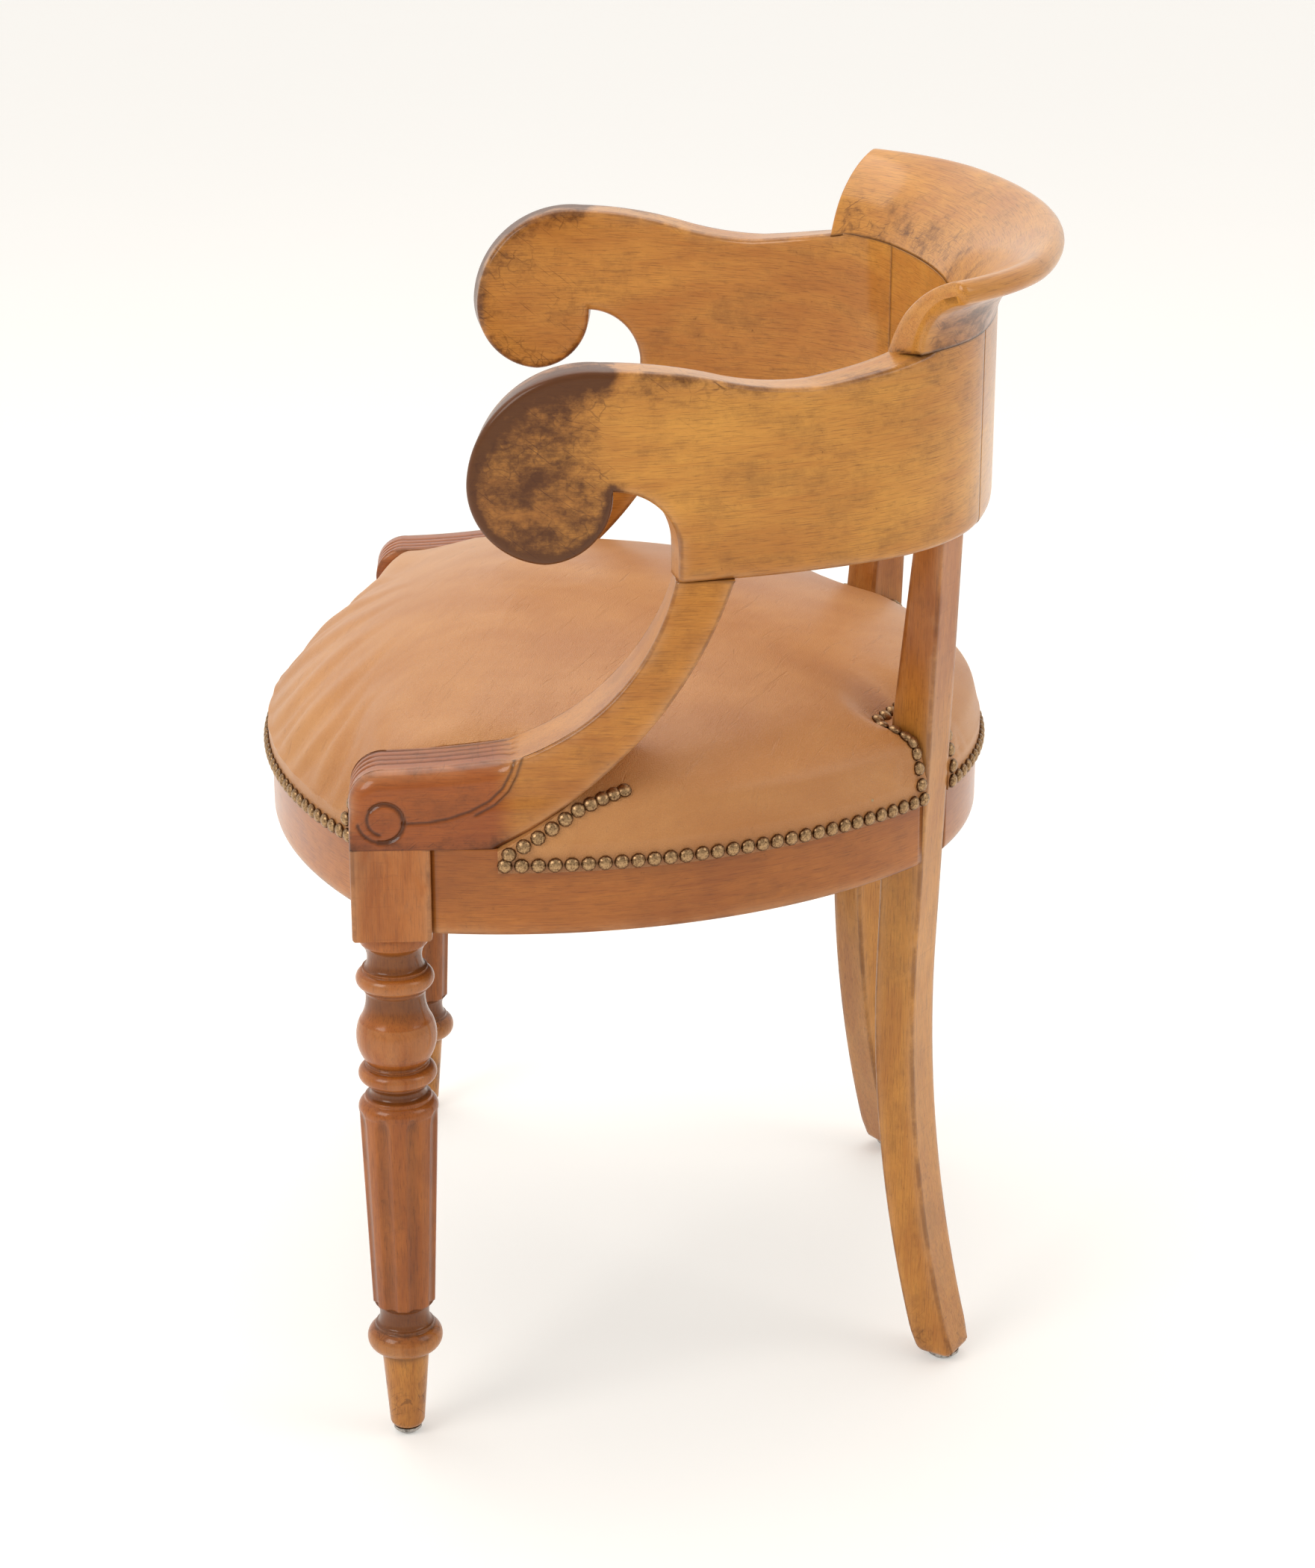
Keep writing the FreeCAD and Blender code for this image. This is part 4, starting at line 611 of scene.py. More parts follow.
def front_leg_shape(flutes=8, depth=1.9, cutter=10.0):
    """A front leg: the turned profile spun round its axis, with round-headed flutes, under a square block.

    A flute is the nearer root of a circle of the cutter's radius, whose centre stands outside the shaft:
    r = D cos a - sqrt(cutter^2 - D^2 sin^2 a), with D = shaft radius + cutter - depth, kept where it is less than
    the shaft's radius. Its depth dies away as a half ellipse at the head.
    """
    profile = turned_profile()
    radius, height = profile[:, :1], profile[:, 1:]
    around = np.linspace(0, 2 * np.pi, 152, endpoint=False)[None]
    pitch = 2 * np.pi / flutes
    angle = around % pitch - pitch / 2
    deep = depth * (radius / 25) ** 0.5 * (1 - np.clip((height - FLUTE_HEAD) / FLUTE_HEAD_RISE, 0, 1) ** 2)
    shaft = np.where(height < SHOULDER, radius, SHOULDER_RADIUS)
    stand = shaft + cutter - deep
    inside = cutter**2 - (stand * np.sin(angle)) ** 2
    root = np.where(inside > 0, stand * np.cos(angle) - np.sqrt(np.maximum(inside, 0)), 99)
    fluted = (height > SHAFT_FOOT) & (height < FLUTE_HEAD + FLUTE_HEAD_RISE)
    wide = np.where(fluted, np.minimum(root, radius), radius + 0 * angle)
    x = FRONT_LEG[0] + wide * np.cos(around)
    y = FRONT_LEG[1] + wide * np.sin(around)
    points = stacked(x, y, height + 0 * wide)
    number = np.arange(wide.size).reshape(wide.shape)
    grain = points[..., [2, 0, 1]]
    # The flutes are darker, most at their heads; dirt lies in the slim necks and over the ankle; fat beads are
    # rubbed, and foot and ankle dark.
    hollow = np.clip((radius - wide) / depth, 0, 1) * (0.25 + 0.6 * ease(height, 226, 238))
    neck = (height > 80) & (height < 360) & ~((height > 99) & (height < 243))
    slim = np.clip((22.0 - radius) / 3, 0, 1) * neck
    seam = np.maximum(np.maximum(hollow, slim * 0.6), 0.5 * bell(height - 62, 3))
    rubbed = ((radius > 23.5) & ((height < 90) | (height > 247))) * 0.5
    handled = 0.45 * (1 - ease(height, 40, 62)) + 0.5 * bell(height - 79, 5)
    turned = shape(
        points, quads(number, wrap=True), grain=grain,
        edge=rubbed + 0 * wide, seam=seam + 0 * wide, soot=handled + 0 * wide,
    )

    def block_place(x, z, face, inset):
        y = FRONT_LEG[1] + (BLOCK_HALF - inset) * (1 if face else -1)
        return stacked(FRONT_LEG[0] + x, y + 0 * x, z)

    low = bow((-BLOCK_HALF, BLOCK_BOTTOM), (BLOCK_HALF, BLOCK_BOTTOM), 0, 40)
    high = bow((-BLOCK_HALF, RAIL_TOP), (BLOCK_HALF, RAIL_TOP), 0, 40)
    low[:, 0] = high[:, 0] = BLOCK_HALF * np.sin(np.linspace(-np.pi / 2, np.pi / 2, 40))
    sides = [bow((x, BLOCK_BOTTOM), (x, RAIL_TOP), 0, 2) for x in (-BLOCK_HALF, BLOCK_HALF)]
    block = board(low, high, 24, block_place, 2.0, sides + [low[::39]], [high[::39]], rim_rows=12, thickness=50)
    block[2]["grain"] = block[2]["grain"][:, UPRIGHT]
    return joined(turned, block)


def leg_plan(out, across):
    """Plan of a point of the left rear leg by how far it is out from the foot and across the leg."""
    sine, cosine = np.sin(REAR_ANGLE), np.cos(REAR_ANGLE)
    return REAR_FOOT[0] + out * sine + across * cosine, REAR_FOOT[1] + out * cosine - across * sine


def leg_axes(x, y):
    """How far points of the plan are out from the left rear foot and across its leg."""
    sine, cosine = np.sin(REAR_ANGLE), np.cos(REAR_ANGLE)
    x, y = x - REAR_FOOT[0], y - REAR_FOOT[1]
    return x * sine + y * cosine, x * cosine - y * sine


def rear_leg_edge(toe, toe_round, heel, knee, seat, head):
    """One long edge of a rear leg: a rounded toe, the sabre curve to the knee, and straight up past the seat."""
    sabre = bow((heel, FOOT), (knee, KNEE), 12, 60)[1:]
    return chain(
        bow((toe, FOOT), sabre[0], toe_round, 8),
        sabre,
        bow((knee, KNEE), (seat, RAIL_TOP), 0, 30),
        bow((seat, RAIL_TOP), (head, WALL_BOTTOM), 0, 30),
    )


def rear_leg_shape():
    """A rear leg: a board between two long edges that sweep back at the foot and thin towards the back."""
    behind = rear_leg_edge(8, -1.3, 14, -22, -17, -11)
    ahead = rear_leg_edge(-9, 1.3, -14, -51, REAR_FRONT, REAR_HEAD)

    def place(out, z, face, inset):
        x, y = leg_plan(out, inset - REAR_HALF if face else REAR_HALF - inset)
        return stacked(x, y, z)

    def softer_foot(flat):
        return 2.0 + 4.0 * (1 - ease(flat[..., 1], 6, 24))

    foot, head = np.stack([behind[[0, -1]], ahead[[0, -1]]], axis=1)
    rounded = [behind[::3], ahead[::3], foot]
    made = board(behind, ahead, 18, place, softer_foot, rounded, [head], rim_rows=8, thickness=2 * REAR_HALF)
    made[2]["grain"] = made[2]["grain"][:, UPRIGHT]
    made[2]["soot"] = 0.4 * (1 - ease(made[0][:, 2], 15, 75))
    return made


def rail_shape(start, end, rise):
    """A seat rail: a board bent along a bow of the seat's plan, its outer face on the bow."""
    plan = bow(start, end, rise, 120)
    ruler = lengths(plan)
    inward = normals_2d(plan) * np.sign(rise)

    def place(run, z, face, depth):
        inset = RAIL_THICKNESS - depth if face else depth
        x, y = (np.interp(run, ruler, plan[:, k]) + np.interp(run, ruler, inward[:, k]) * inset for k in (0, 1))
        return stacked(x, y, z)

    low = bow((0, RAIL_BOTTOM), (ruler[-1], RAIL_BOTTOM), 0, 70)
    high = bow((0, RAIL_TOP), (ruler[-1], RAIL_TOP), 0, 70)
    ends = [bow((run, RAIL_BOTTOM), (run, RAIL_TOP), 0, 2) for run in (0, ruler[-1])]
    return board(low, high, 16, place, 1.8, [low[::23]], ends, thickness=RAIL_THICKNESS)


# ------------------------------------------------------------------ the seat


def level(plan, height):
    """Points of a plan, all at one height."""
    return np.concatenate([plan, np.full((len(plan), 1), height)], axis=1)


def seat_plan(out):
    """The seat's plan as one closed chain, `out` millimetres outside the rails' faces."""
    half = chain(
        bow(*FRONT_RAIL, 241)[120:],
        bow(FRONT_CORNER, SIDE_CORNER, 0, 20),
        bow(*SIDE_RAIL, 120),
        bow(HIP, HEEL, 0, 12),
        bow(*BACK_RAIL, 121)[:61],
    )
    loop = spaced(chain(half, half[::-1] * FLIP[:2]), SEAT_POINTS + 1)[:-1]
    step = np.roll(loop, -1, 0) - np.roll(loop, 1, 0)
    step /= np.linalg.norm(step, axis=1, keepdims=True)
    return loop + stacked(step[:, 1], -step[:, 0]) * out


def crown(values, t):
    """A smooth run through six set rings: straight pieces between them, softened."""
    fine = np.interp(np.linspace(-1, 6, 701), np.arange(6), values)
    soft = np.convolve(np.pad(fine, 45, mode="edge"), np.hanning(91) / np.hanning(91).sum(), "valid")
    return np.interp(t, np.linspace(-1, 6, 701), soft)


def seat_rings():
    """The leather's rings, from the middle of its underside round the hem and up to the crown.

    A ring of the top stands at base + (top - base) * rise(t), its x is the plan's times spread(t), and its y goes
    from spread(t) to front(t) ahead of the middle. Gives the rings and the number of the first free one.
    """
    loop = seat_plan(LEATHER_OUT)
    tuck = seat_plan(0.4)
    t = 5 * np.linspace(0, 1, 64) ** 0.9
    rise, spread, front = (crown(values, t) for values in (CROWN_RISE, CROWN_SPREAD, CROWN_FRONT))
    rise = (rise - rise[0]) / (rise[-1] - rise[0])
    spread[0] = front[0] = 1
    close = np.linspace(1, 0, 9)[1:]
    rise = np.concatenate([rise, 1 + 0.01 * (1 - close**2)])[1:]
    spread = np.concatenate([spread, spread[-1] * close])[1:]
    front = np.concatenate([front, front[-1] * close])[1:]
    ahead = 1 - ease(loop[:, 1], -150, -40)
    part = spread[:, None] + (front - spread)[:, None] * ahead
    x = loop[:, 0] * spread[:, None]
    y = SEAT_MIDDLE_Y + (loop[:, 1] - SEAT_MIDDLE_Y) * part
    z = SEAT_BASE + (SEAT_TOP - SEAT_BASE) * rise[:, None] + 0 * x

    def ring(plan, height, share=1.0):
        return level(plan * share + np.array([0, SEAT_MIDDLE_Y]) * (1 - share), height)[None]

    low = [ring(tuck, RAIL_TOP + 3, share) for share in (0, 0.35, 0.7, 0.9)]
    low += [ring(tuck, RAIL_TOP + 3), ring(tuck, HEM + 0.4)]
    low += [ring(loop, height) for height in np.linspace(HEM, SEAT_BASE, 10)]
    return np.concatenate(low + [stacked(x, y, z)]), len(low)


def ring_normals(rings):
    """Outward normals of a closed grid of rings."""
    up = np.gradient(rings, axis=0)
    round_ = np.roll(rings, -1, 1) - np.roll(rings, 1, 1)
    normal = np.cross(round_, up)
    return normal / np.maximum(np.linalg.norm(normal, axis=-1, keepdims=True), 1e-9)


def halved(values, count):
    """Values at a count of half steps along the first axis of given ones."""
    step = np.minimum(np.arange(count) / 2, len(values) - 1)
    low = np.minimum(np.floor(step).astype(int), len(values) - 2)
    return values[low] + (values[low + 1] - values[low]) * (step - low)[:, None, None]


def swelled(rings, free):
    """How far each point of the seat moves when its leather is blown up as cloth with the hem held, in millimetres:
    every second ring and point is simulated, and the rest is worked out between them."""
    some = rings[::2, ::2]
    rows, count = some.shape[:2]
    number = np.arange(rows * count).reshape(rows, count)
    mesh = bpy.data.meshes.new("seat_cloth")
    mesh.from_pydata(some.reshape(-1, 3) * MM, [], quads(number, wrap=True))
    cloth = put("seat_cloth", mesh)
    held = cloth.vertex_groups.new(name="held")
    for part in (number[: free // 2 + 2], number[-4:]):
        held.add(part.ravel().tolist(), 1.0, "REPLACE")
    work = cloth.modifiers.new("cloth", "CLOTH").settings
    work.vertex_group_mass = "held"
    work.use_pressure = True
    work.uniform_pressure_force = SEAT_PRESSURE
    work.effector_weights.gravity = 0
    work.quality = 5
    work.tension_stiffness = 12
    work.compression_stiffness = 6
    work.bending_stiffness = 0.6
    work.shrink_min = -0.02
    for moment in range(1, 21):
        bpy.context.scene.frame_set(moment)
    found = cloth.evaluated_get(bpy.context.evaluated_depsgraph_get()).data
    place = np.zeros(rows * count * 3)
    found.vertices.foreach_get("co", place)
    bpy.data.objects.remove(cloth)
    bpy.data.meshes.remove(mesh)
    bpy.context.scene.frame_set(1)
    move = place.reshape(rows, count, 3) / MM - some
    far = np.linalg.norm(move, axis=-1, keepdims=True)
    move = move * np.minimum(1, SWELL_LIMIT / np.maximum(far, 1e-9))
    wide = halved(np.concatenate([move, move[:, :1]], axis=1).swapaxes(0, 1), rings.shape[1])
    return halved(wide.swapaxes(0, 1), rings.shape[0])


def pleats(rings):
    """Height of the leather's folds over its rings: slanting ridges, each with a crease beside it, that start at
    the hem of the front and die away over the crown, and short ones round the stiles."""
    step = np.linalg.norm(np.diff(rings, axis=0), axis=-1)
    up = np.concatenate([np.zeros((1, rings.shape[1])), np.cumsum(step, axis=0)])
    up = up - up[HEM_RING]
    rim = seat_plan(LEATHER_OUT)
    run = lengths(rim)
    total = run[-1] + np.linalg.norm(rim[0] - rim[-1])
    hip, heel = (run[np.argmin(np.linalg.norm(rim - np.array(corner), axis=1))] for corner in (HIP, HEEL))
    # Each fold: where it starts along the rim, its height, width and slant, and how far up it reaches.
    folds = [
        (-205, 1.6, 9, 0.12, 80), (-176, 2.4, 12, 0.2, 130), (-140, 1.3, 9, 0.25, 90), (-112, 2.2, 15, 0.18, 150),
        (-70, 1.2, 10, 0.12, 90), (-40, 1.9, 17, 0.06, 150), (8, 1.0, 12, 0.02, 90), (45, 1.8, 16, -0.08, 140),
        (84, 1.1, 9, -0.1, 80), (112, 2.2, 14, -0.15, 140), (150, 2.0, 10, -0.2, 110), (182, 2.3, 11, -0.16, 110),
        (208, 1.5, 8, -0.1, 75),
    ]
    for way in (1, -1):
        for place, slant in ((hip - 34, 0.5), (hip - 16, 0.3), (heel + 16, -0.3), (heel + 38, -0.5)):
            folds.append((way * place, 0.9, 7, slant * way, 50))
    start, height, width, slant, reach = np.array(folds, float).T[:, :, None, None]
    away = run[None, None, :] - start - slant * up[None] - 5 * np.sin(up[None] / 21 + start * 0.7)
    away = (away + total / 2) % total - total / 2
    near = away / width
    fold = bell(near, 1) - 0.75 * bell(near - 1.15, 0.55)
    fade = ease(up[None], 4, 26) * (1 - ease(up[None], reach * 0.35, reach))
    return 1.15 * (height * fold * fade).sum(0)


def rear_edge_y(height):
    """How far back an arm support's rear edge is at a height."""
    edge = support_rear(60)
    return np.interp(height, edge[:, 1], edge[:, 0])


def clear_of_wood(rings):
    """Keeps the leather out of the arm supports and the rear legs: a point inside one goes to its nearest face, or
    to the front of a leg from near its middle."""
    x, y, z = np.abs(rings[..., 0]), rings[..., 1], rings[..., 2]
    way = np.where(rings[..., 0] < 0, -1, 1)
    inner = SUPPORT_INNER - WOOD_GAP
    rear = rear_edge_y(z) + WOOD_GAP
    inside = (x > inner) & (y < rear)
    sideways = inside & (x - inner < rear - y)
    y = np.where(inside & ~sideways, rear, y)
    z = np.where(sideways & (y > -190), np.maximum(z, RAIL_REST), z)
    x = np.where(sideways, inner, x)
    out, across = leg_axes(x, y)
    front = REAR_FRONT + (z - RAIL_TOP) * (REAR_HEAD - REAR_FRONT) / (WALL_BOTTOM - RAIL_TOP) - WOOD_GAP
    half = REAR_HALF + WOOD_GAP
    inside = (np.abs(across) < half) & (out > front)
    forward = inside & ((out - front < half - np.abs(across)) | (np.abs(across) < LEG_MIDDLE))
    across = np.where(inside & ~forward, half * np.sign(across), across)
    z = np.where(forward, np.maximum(z, RAIL_REST), z)
    x, y = leg_plan(np.where(forward, front, out), across)
    return stacked(x * way, y, z)


def at_supports(x, y, z, free):
    """Heights of the leather once it swells up to the brim of the arm supports, and no further, where they meet.

    The brim follows the support's inner top: brim = level + 0.1 * (y + 155) + 0.4 * (y + 95), each part where it is
    above 0. The leather is at least brim + 0.22 * d and at most brim + 0.75 * d, a distance d inside the support.
    """
    hidden = y < rear_edge_y(z) - 4
    share = ease(x, 110, 190) * ease(y, -206, -172) * (1 - ease(y, -112, -70))
    share *= np.where(hidden, 1 - ease(x, 238, 250), 1 - ease(x, 214, 224))
    share[:free] = 0
    inward = np.maximum(SUPPORT_INNER - WOOD_GAP - x, 0)
    brim = SUPPORT_BRIM + 0.1 * np.maximum(y + 155, 0) + 0.4 * np.maximum(y + 95, 0)
    z = z + (not_below(z, brim + 0.22 * inward, 5) - z) * share
    return not_above(z, brim + 0.75 * inward, 1.5)


def round_stiles(x, y, z):
    """Heights of the leather once it is pulled down round the foot of each stile: no higher than the brim there
    plus 0.95 * (distance - 6)."""
    out, across = leg_axes(x, y)
    away = np.hypot(np.maximum(np.abs(across) - REAR_HALF, 0), np.maximum(REAR_FRONT - out, 0))
    return not_above(z, STILE_BRIM + 0.95 * np.maximum(away - 6, 0), 4)


def seat_surface():
    """The finished leather: swelled as cloth, folded, fitted to the supports and the stiles, and kept clear of the
    wood. Gives its rings and the number of the first free one."""
    rings, free = seat_rings()
    rings = rings + swelled(rings, free)
    fold = pleats(rings)
    fold[: free - 4] = 0
    fold[-10:] = 0
    rings = rings + ring_normals(rings) * fold[..., None]
    x, y = np.abs(rings[..., 0]), rings[..., 1]
    rings[..., 2] = round_stiles(x, y, at_supports(x, y, rings[..., 2], free))
    return clear_of_wood(rings), free


# ------------------------------------------------------------------ nails


def nail_heads(centres, normals, radius=4.9, rise=3.6):
    """Domed nail heads: one small cap of rings from the middle of its underside to its top, turned to each normal
    and set at each centre."""
    ring = np.array([[0, 0.0], [0.9, 0.0], [1, 0.14], [0.9, 0.55], [0.55, 0.88], [0.2, 0.99], [0, 1.0]])
    around = np.linspace(0, 2 * np.pi, 10, endpoint=False)
    up = normals / np.linalg.norm(normals, axis=1, keepdims=True)
    side = np.cross(up, np.where(np.abs(up[:, 2:]) < 0.9, [[0, 0, 1.0]], [[1.0, 0, 0]]))
    side /= np.linalg.norm(side, axis=1, keepdims=True)
    third = np.cross(up, side)
    spin = np.cos(around)[:, None, None] * side + np.sin(around)[:, None, None] * third
    points = centres + radius * ring[:, 0][:, None, None, None] * spin + rise * ring[:, 1][:, None, None, None] * up
    points = points.transpose(2, 0, 1, 3)
    size = ring.shape[0] * len(around)
    cap = quads(np.arange(size).reshape(-1, len(around)), wrap=True)
    faces = (cap + size * np.arange(len(centres))[:, None, None]).reshape(-1, 4)
    hollow = np.tile(np.array([1, 1, 0.95, 0.4, 0.1, 0, 0])[None, :, None], (points.shape[0], 1, len(around)))
    return shape(points, faces, edge=hollow)


def set_in(rings, free, wanted):
    """Nail places on the leather: the point of its upper side nearest to each wanted one, and its normal there."""
    skin = rings[free - 8 :].reshape(-1, 3)
    normal = ring_normals(rings)[free - 8 :].reshape(-1, 3)
    wanted = np.asarray(wanted, float)
    nearest = np.argmin(np.linalg.norm(wanted[:, None] - skin[None], axis=-1), axis=1)
    lean = normal[nearest]
    return wanted + lean * ((skin[nearest] - wanted) * lean).sum(1, keepdims=True), lean


def evenly(points, trim=0.0):
    """Points along a chain at about the nails' pitch, from one trimmed end to the other."""
    length = lengths(points)[-1]
    count = max(int(round((length - 2 * trim) / NAIL_PITCH)) + 1, 2)
    return along(points, np.linspace(trim, length - trim, count))


def hem_row(start, end, rise, trim):
    """Nail places along one bow of the hem."""
    return level(evenly(bow(start, end, rise, 200), trim), NAIL_ROW)


def side_nails():
    """Nail places of the left side: along the hem behind the arm support, and up the slope under it."""
    hem = bow(*SIDE_RAIL, 300)
    hem = level(evenly(hem[hem[:, 1] > SUPPORT_HEEL[0] + 1], 3.0), NAIL_ROW)
    edge = support_rear(200)
    slope = edge + normals_2d(edge) * NAIL_GAP
    slope = evenly(slope[(slope[:, 1] > NAIL_SLOPE[0]) & (slope[:, 1] < NAIL_SLOPE[1])])
    return np.concatenate([hem, np.insert(slope, 0, SUPPORT_OUTER + 4.0, axis=1)])


def stile_nails():
    """Nail places round the left stile: up both its sides from the hem, and along the leather round its foot."""
    upright = [(-22, height) for height in (424, 434.4, 444.8, 454.6)]
    along_side = [(out, 460) for out in (-28, -38, -48)]
    beside, ahead = REAR_HALF + NAIL_STAND, REAR_FRONT - NAIL_STAND
    wanted = [(*leg_plan(out, way * beside), height) for way in (1, -1) for out, height in upright + along_side]
    return np.array(wanted + [(*leg_plan(ahead, across), 461) for across in (-15, -5, 5, 15)])


def front_nails():
    """Nail places up the leather's edge against the inner face of the left arm support."""
    y = np.array([-203, -196, -187, -177, -167])
    z = np.array([424, 434, 442, 449, 455])
    return stacked(np.full(5, SUPPORT_INNER - NAIL_STAND), y, z)


# ------------------------------------------------------------------ materials


class Wire:
    """A socket of a material's nodes; sums, products and powers of wires add the Math nodes for them."""

    def __init__(self, tree, socket=None):
        self.tree = tree
        self.socket = socket

    def node(self, kind, settings=None, inputs=None, output=0):
        """Adds a node: first its settings, then a value or a wire for each named socket; gives one output."""
        made = self.tree.nodes.new("ShaderNode" + kind)
        for name, value in (settings or {}).items():
            if name == "stops":
                ramp = made.color_ramp.elements
                while len(ramp) < len(value):
                    ramp.new(0.5)
                for element, (place, colour) in zip(ramp, value):
                    element.position = place
                    element.color = colour if len(colour) == 4 else (*colour, 1)
            else:
                setattr(made, name, value)
        self.fill(made, inputs or {})
        return Wire(self.tree, made.outputs[output])

    def fill(self, made, inputs):
        """Gives a value or a wire to each named socket of a node."""
        for name, value in inputs.items():
            if isinstance(value, Wire):
                self.tree.links.new(value.socket, made.inputs[name])
            else:
                made.inputs[name].default_value = value

    def math(self, operation, *values):
        return self.node("Math", {"operation": operation}, dict(enumerate(values)))

    def __add__(self, other):
        return self.math("ADD", self, other)

    __radd__ = __add__

    def __sub__(self, other):
        return self.math("SUBTRACT", self, other)

    def __rsub__(self, other):
        return self.math("SUBTRACT", other, self)

    def __mul__(self, other):
        return self.math("MULTIPLY", self, other)

    __rmul__ = __mul__

    def __truediv__(self, other):
        return self.math("DIVIDE", self, other)

    def __pow__(self, other):
        return self.math("POWER", self, other)

    def carried(self, name):
        """The number that each point of the mesh carries under a name."""
        return self.node("Attribute", {"attribute_name": name}, None, 2)

    def place(self):
        """The object's own coordinates."""
        return self.node("TexCoord", None, None, 3)

    def between(self, low, high):
        """Smooth step of a value from 0 at low to 1 at high."""
        return self.node(
            "MapRange",
            {"interpolation_type": "SMOOTHSTEP"},
            {"Value": self, "From Min": low, "From Max": high, "To Min": 0.0, "To Max": 1.0},
        )

    def stretched(self, *scale):
        """Coordinates scaled along their three axes."""
        return self.node("VectorMath", {"operation": "MULTIPLY"}, {0: self, 1: scale})

    def turned(self, angle):
        """Coordinates turned about their third axis."""
        return self.node("Mapping", None, {"Vector": self, "Rotation": (0.0, 0.0, angle)})

    def cells(self, scale):
        """Distance to the edges of irregular cells of these coordinates."""
        return self.node("TexVoronoi", {"feature": "DISTANCE_TO_EDGE"}, {"Vector": self, "Scale": scale})

    def noise(self, scale, detail=3.0, roughness=0.55, distortion=0.0):
        """Cloudy noise of these coordinates."""
        sockets = {"Vector": self, "Scale": scale, "Detail": detail, "Roughness": roughness, "Distortion": distortion}
        return self.node("TexNoise", None, sockets)

    def blend(self, first, second):
        """First colour where this value is 0, second where it is 1."""
        return self.node("Mix", {"data_type": "RGBA", "clamp_factor": True}, {0: self, 6: first, 7: second}, 2)


def new_material(name):
    """An empty material and a wire of its node tree."""
    material = bpy.data.materials.new(name)
    material.use_nodes = True
    return material, Wire(material.node_tree)


def feed(wire, **sockets):
    """Values or wires for the sockets of a material's shader."""
    shader = wire.tree.nodes["Principled BSDF"]
    wire.fill(shader, {name.replace("_", " "): value for name, value in sockets.items()})


def finished(wire, height, strength, distance, **sockets):
    """Feeds a material's shader, with a bump of the given height on its normal."""
    bump = wire.node("Bump", None, {"Height": height, "Strength": strength, "Distance": distance})
    feed(wire, Normal=bump, **sockets)


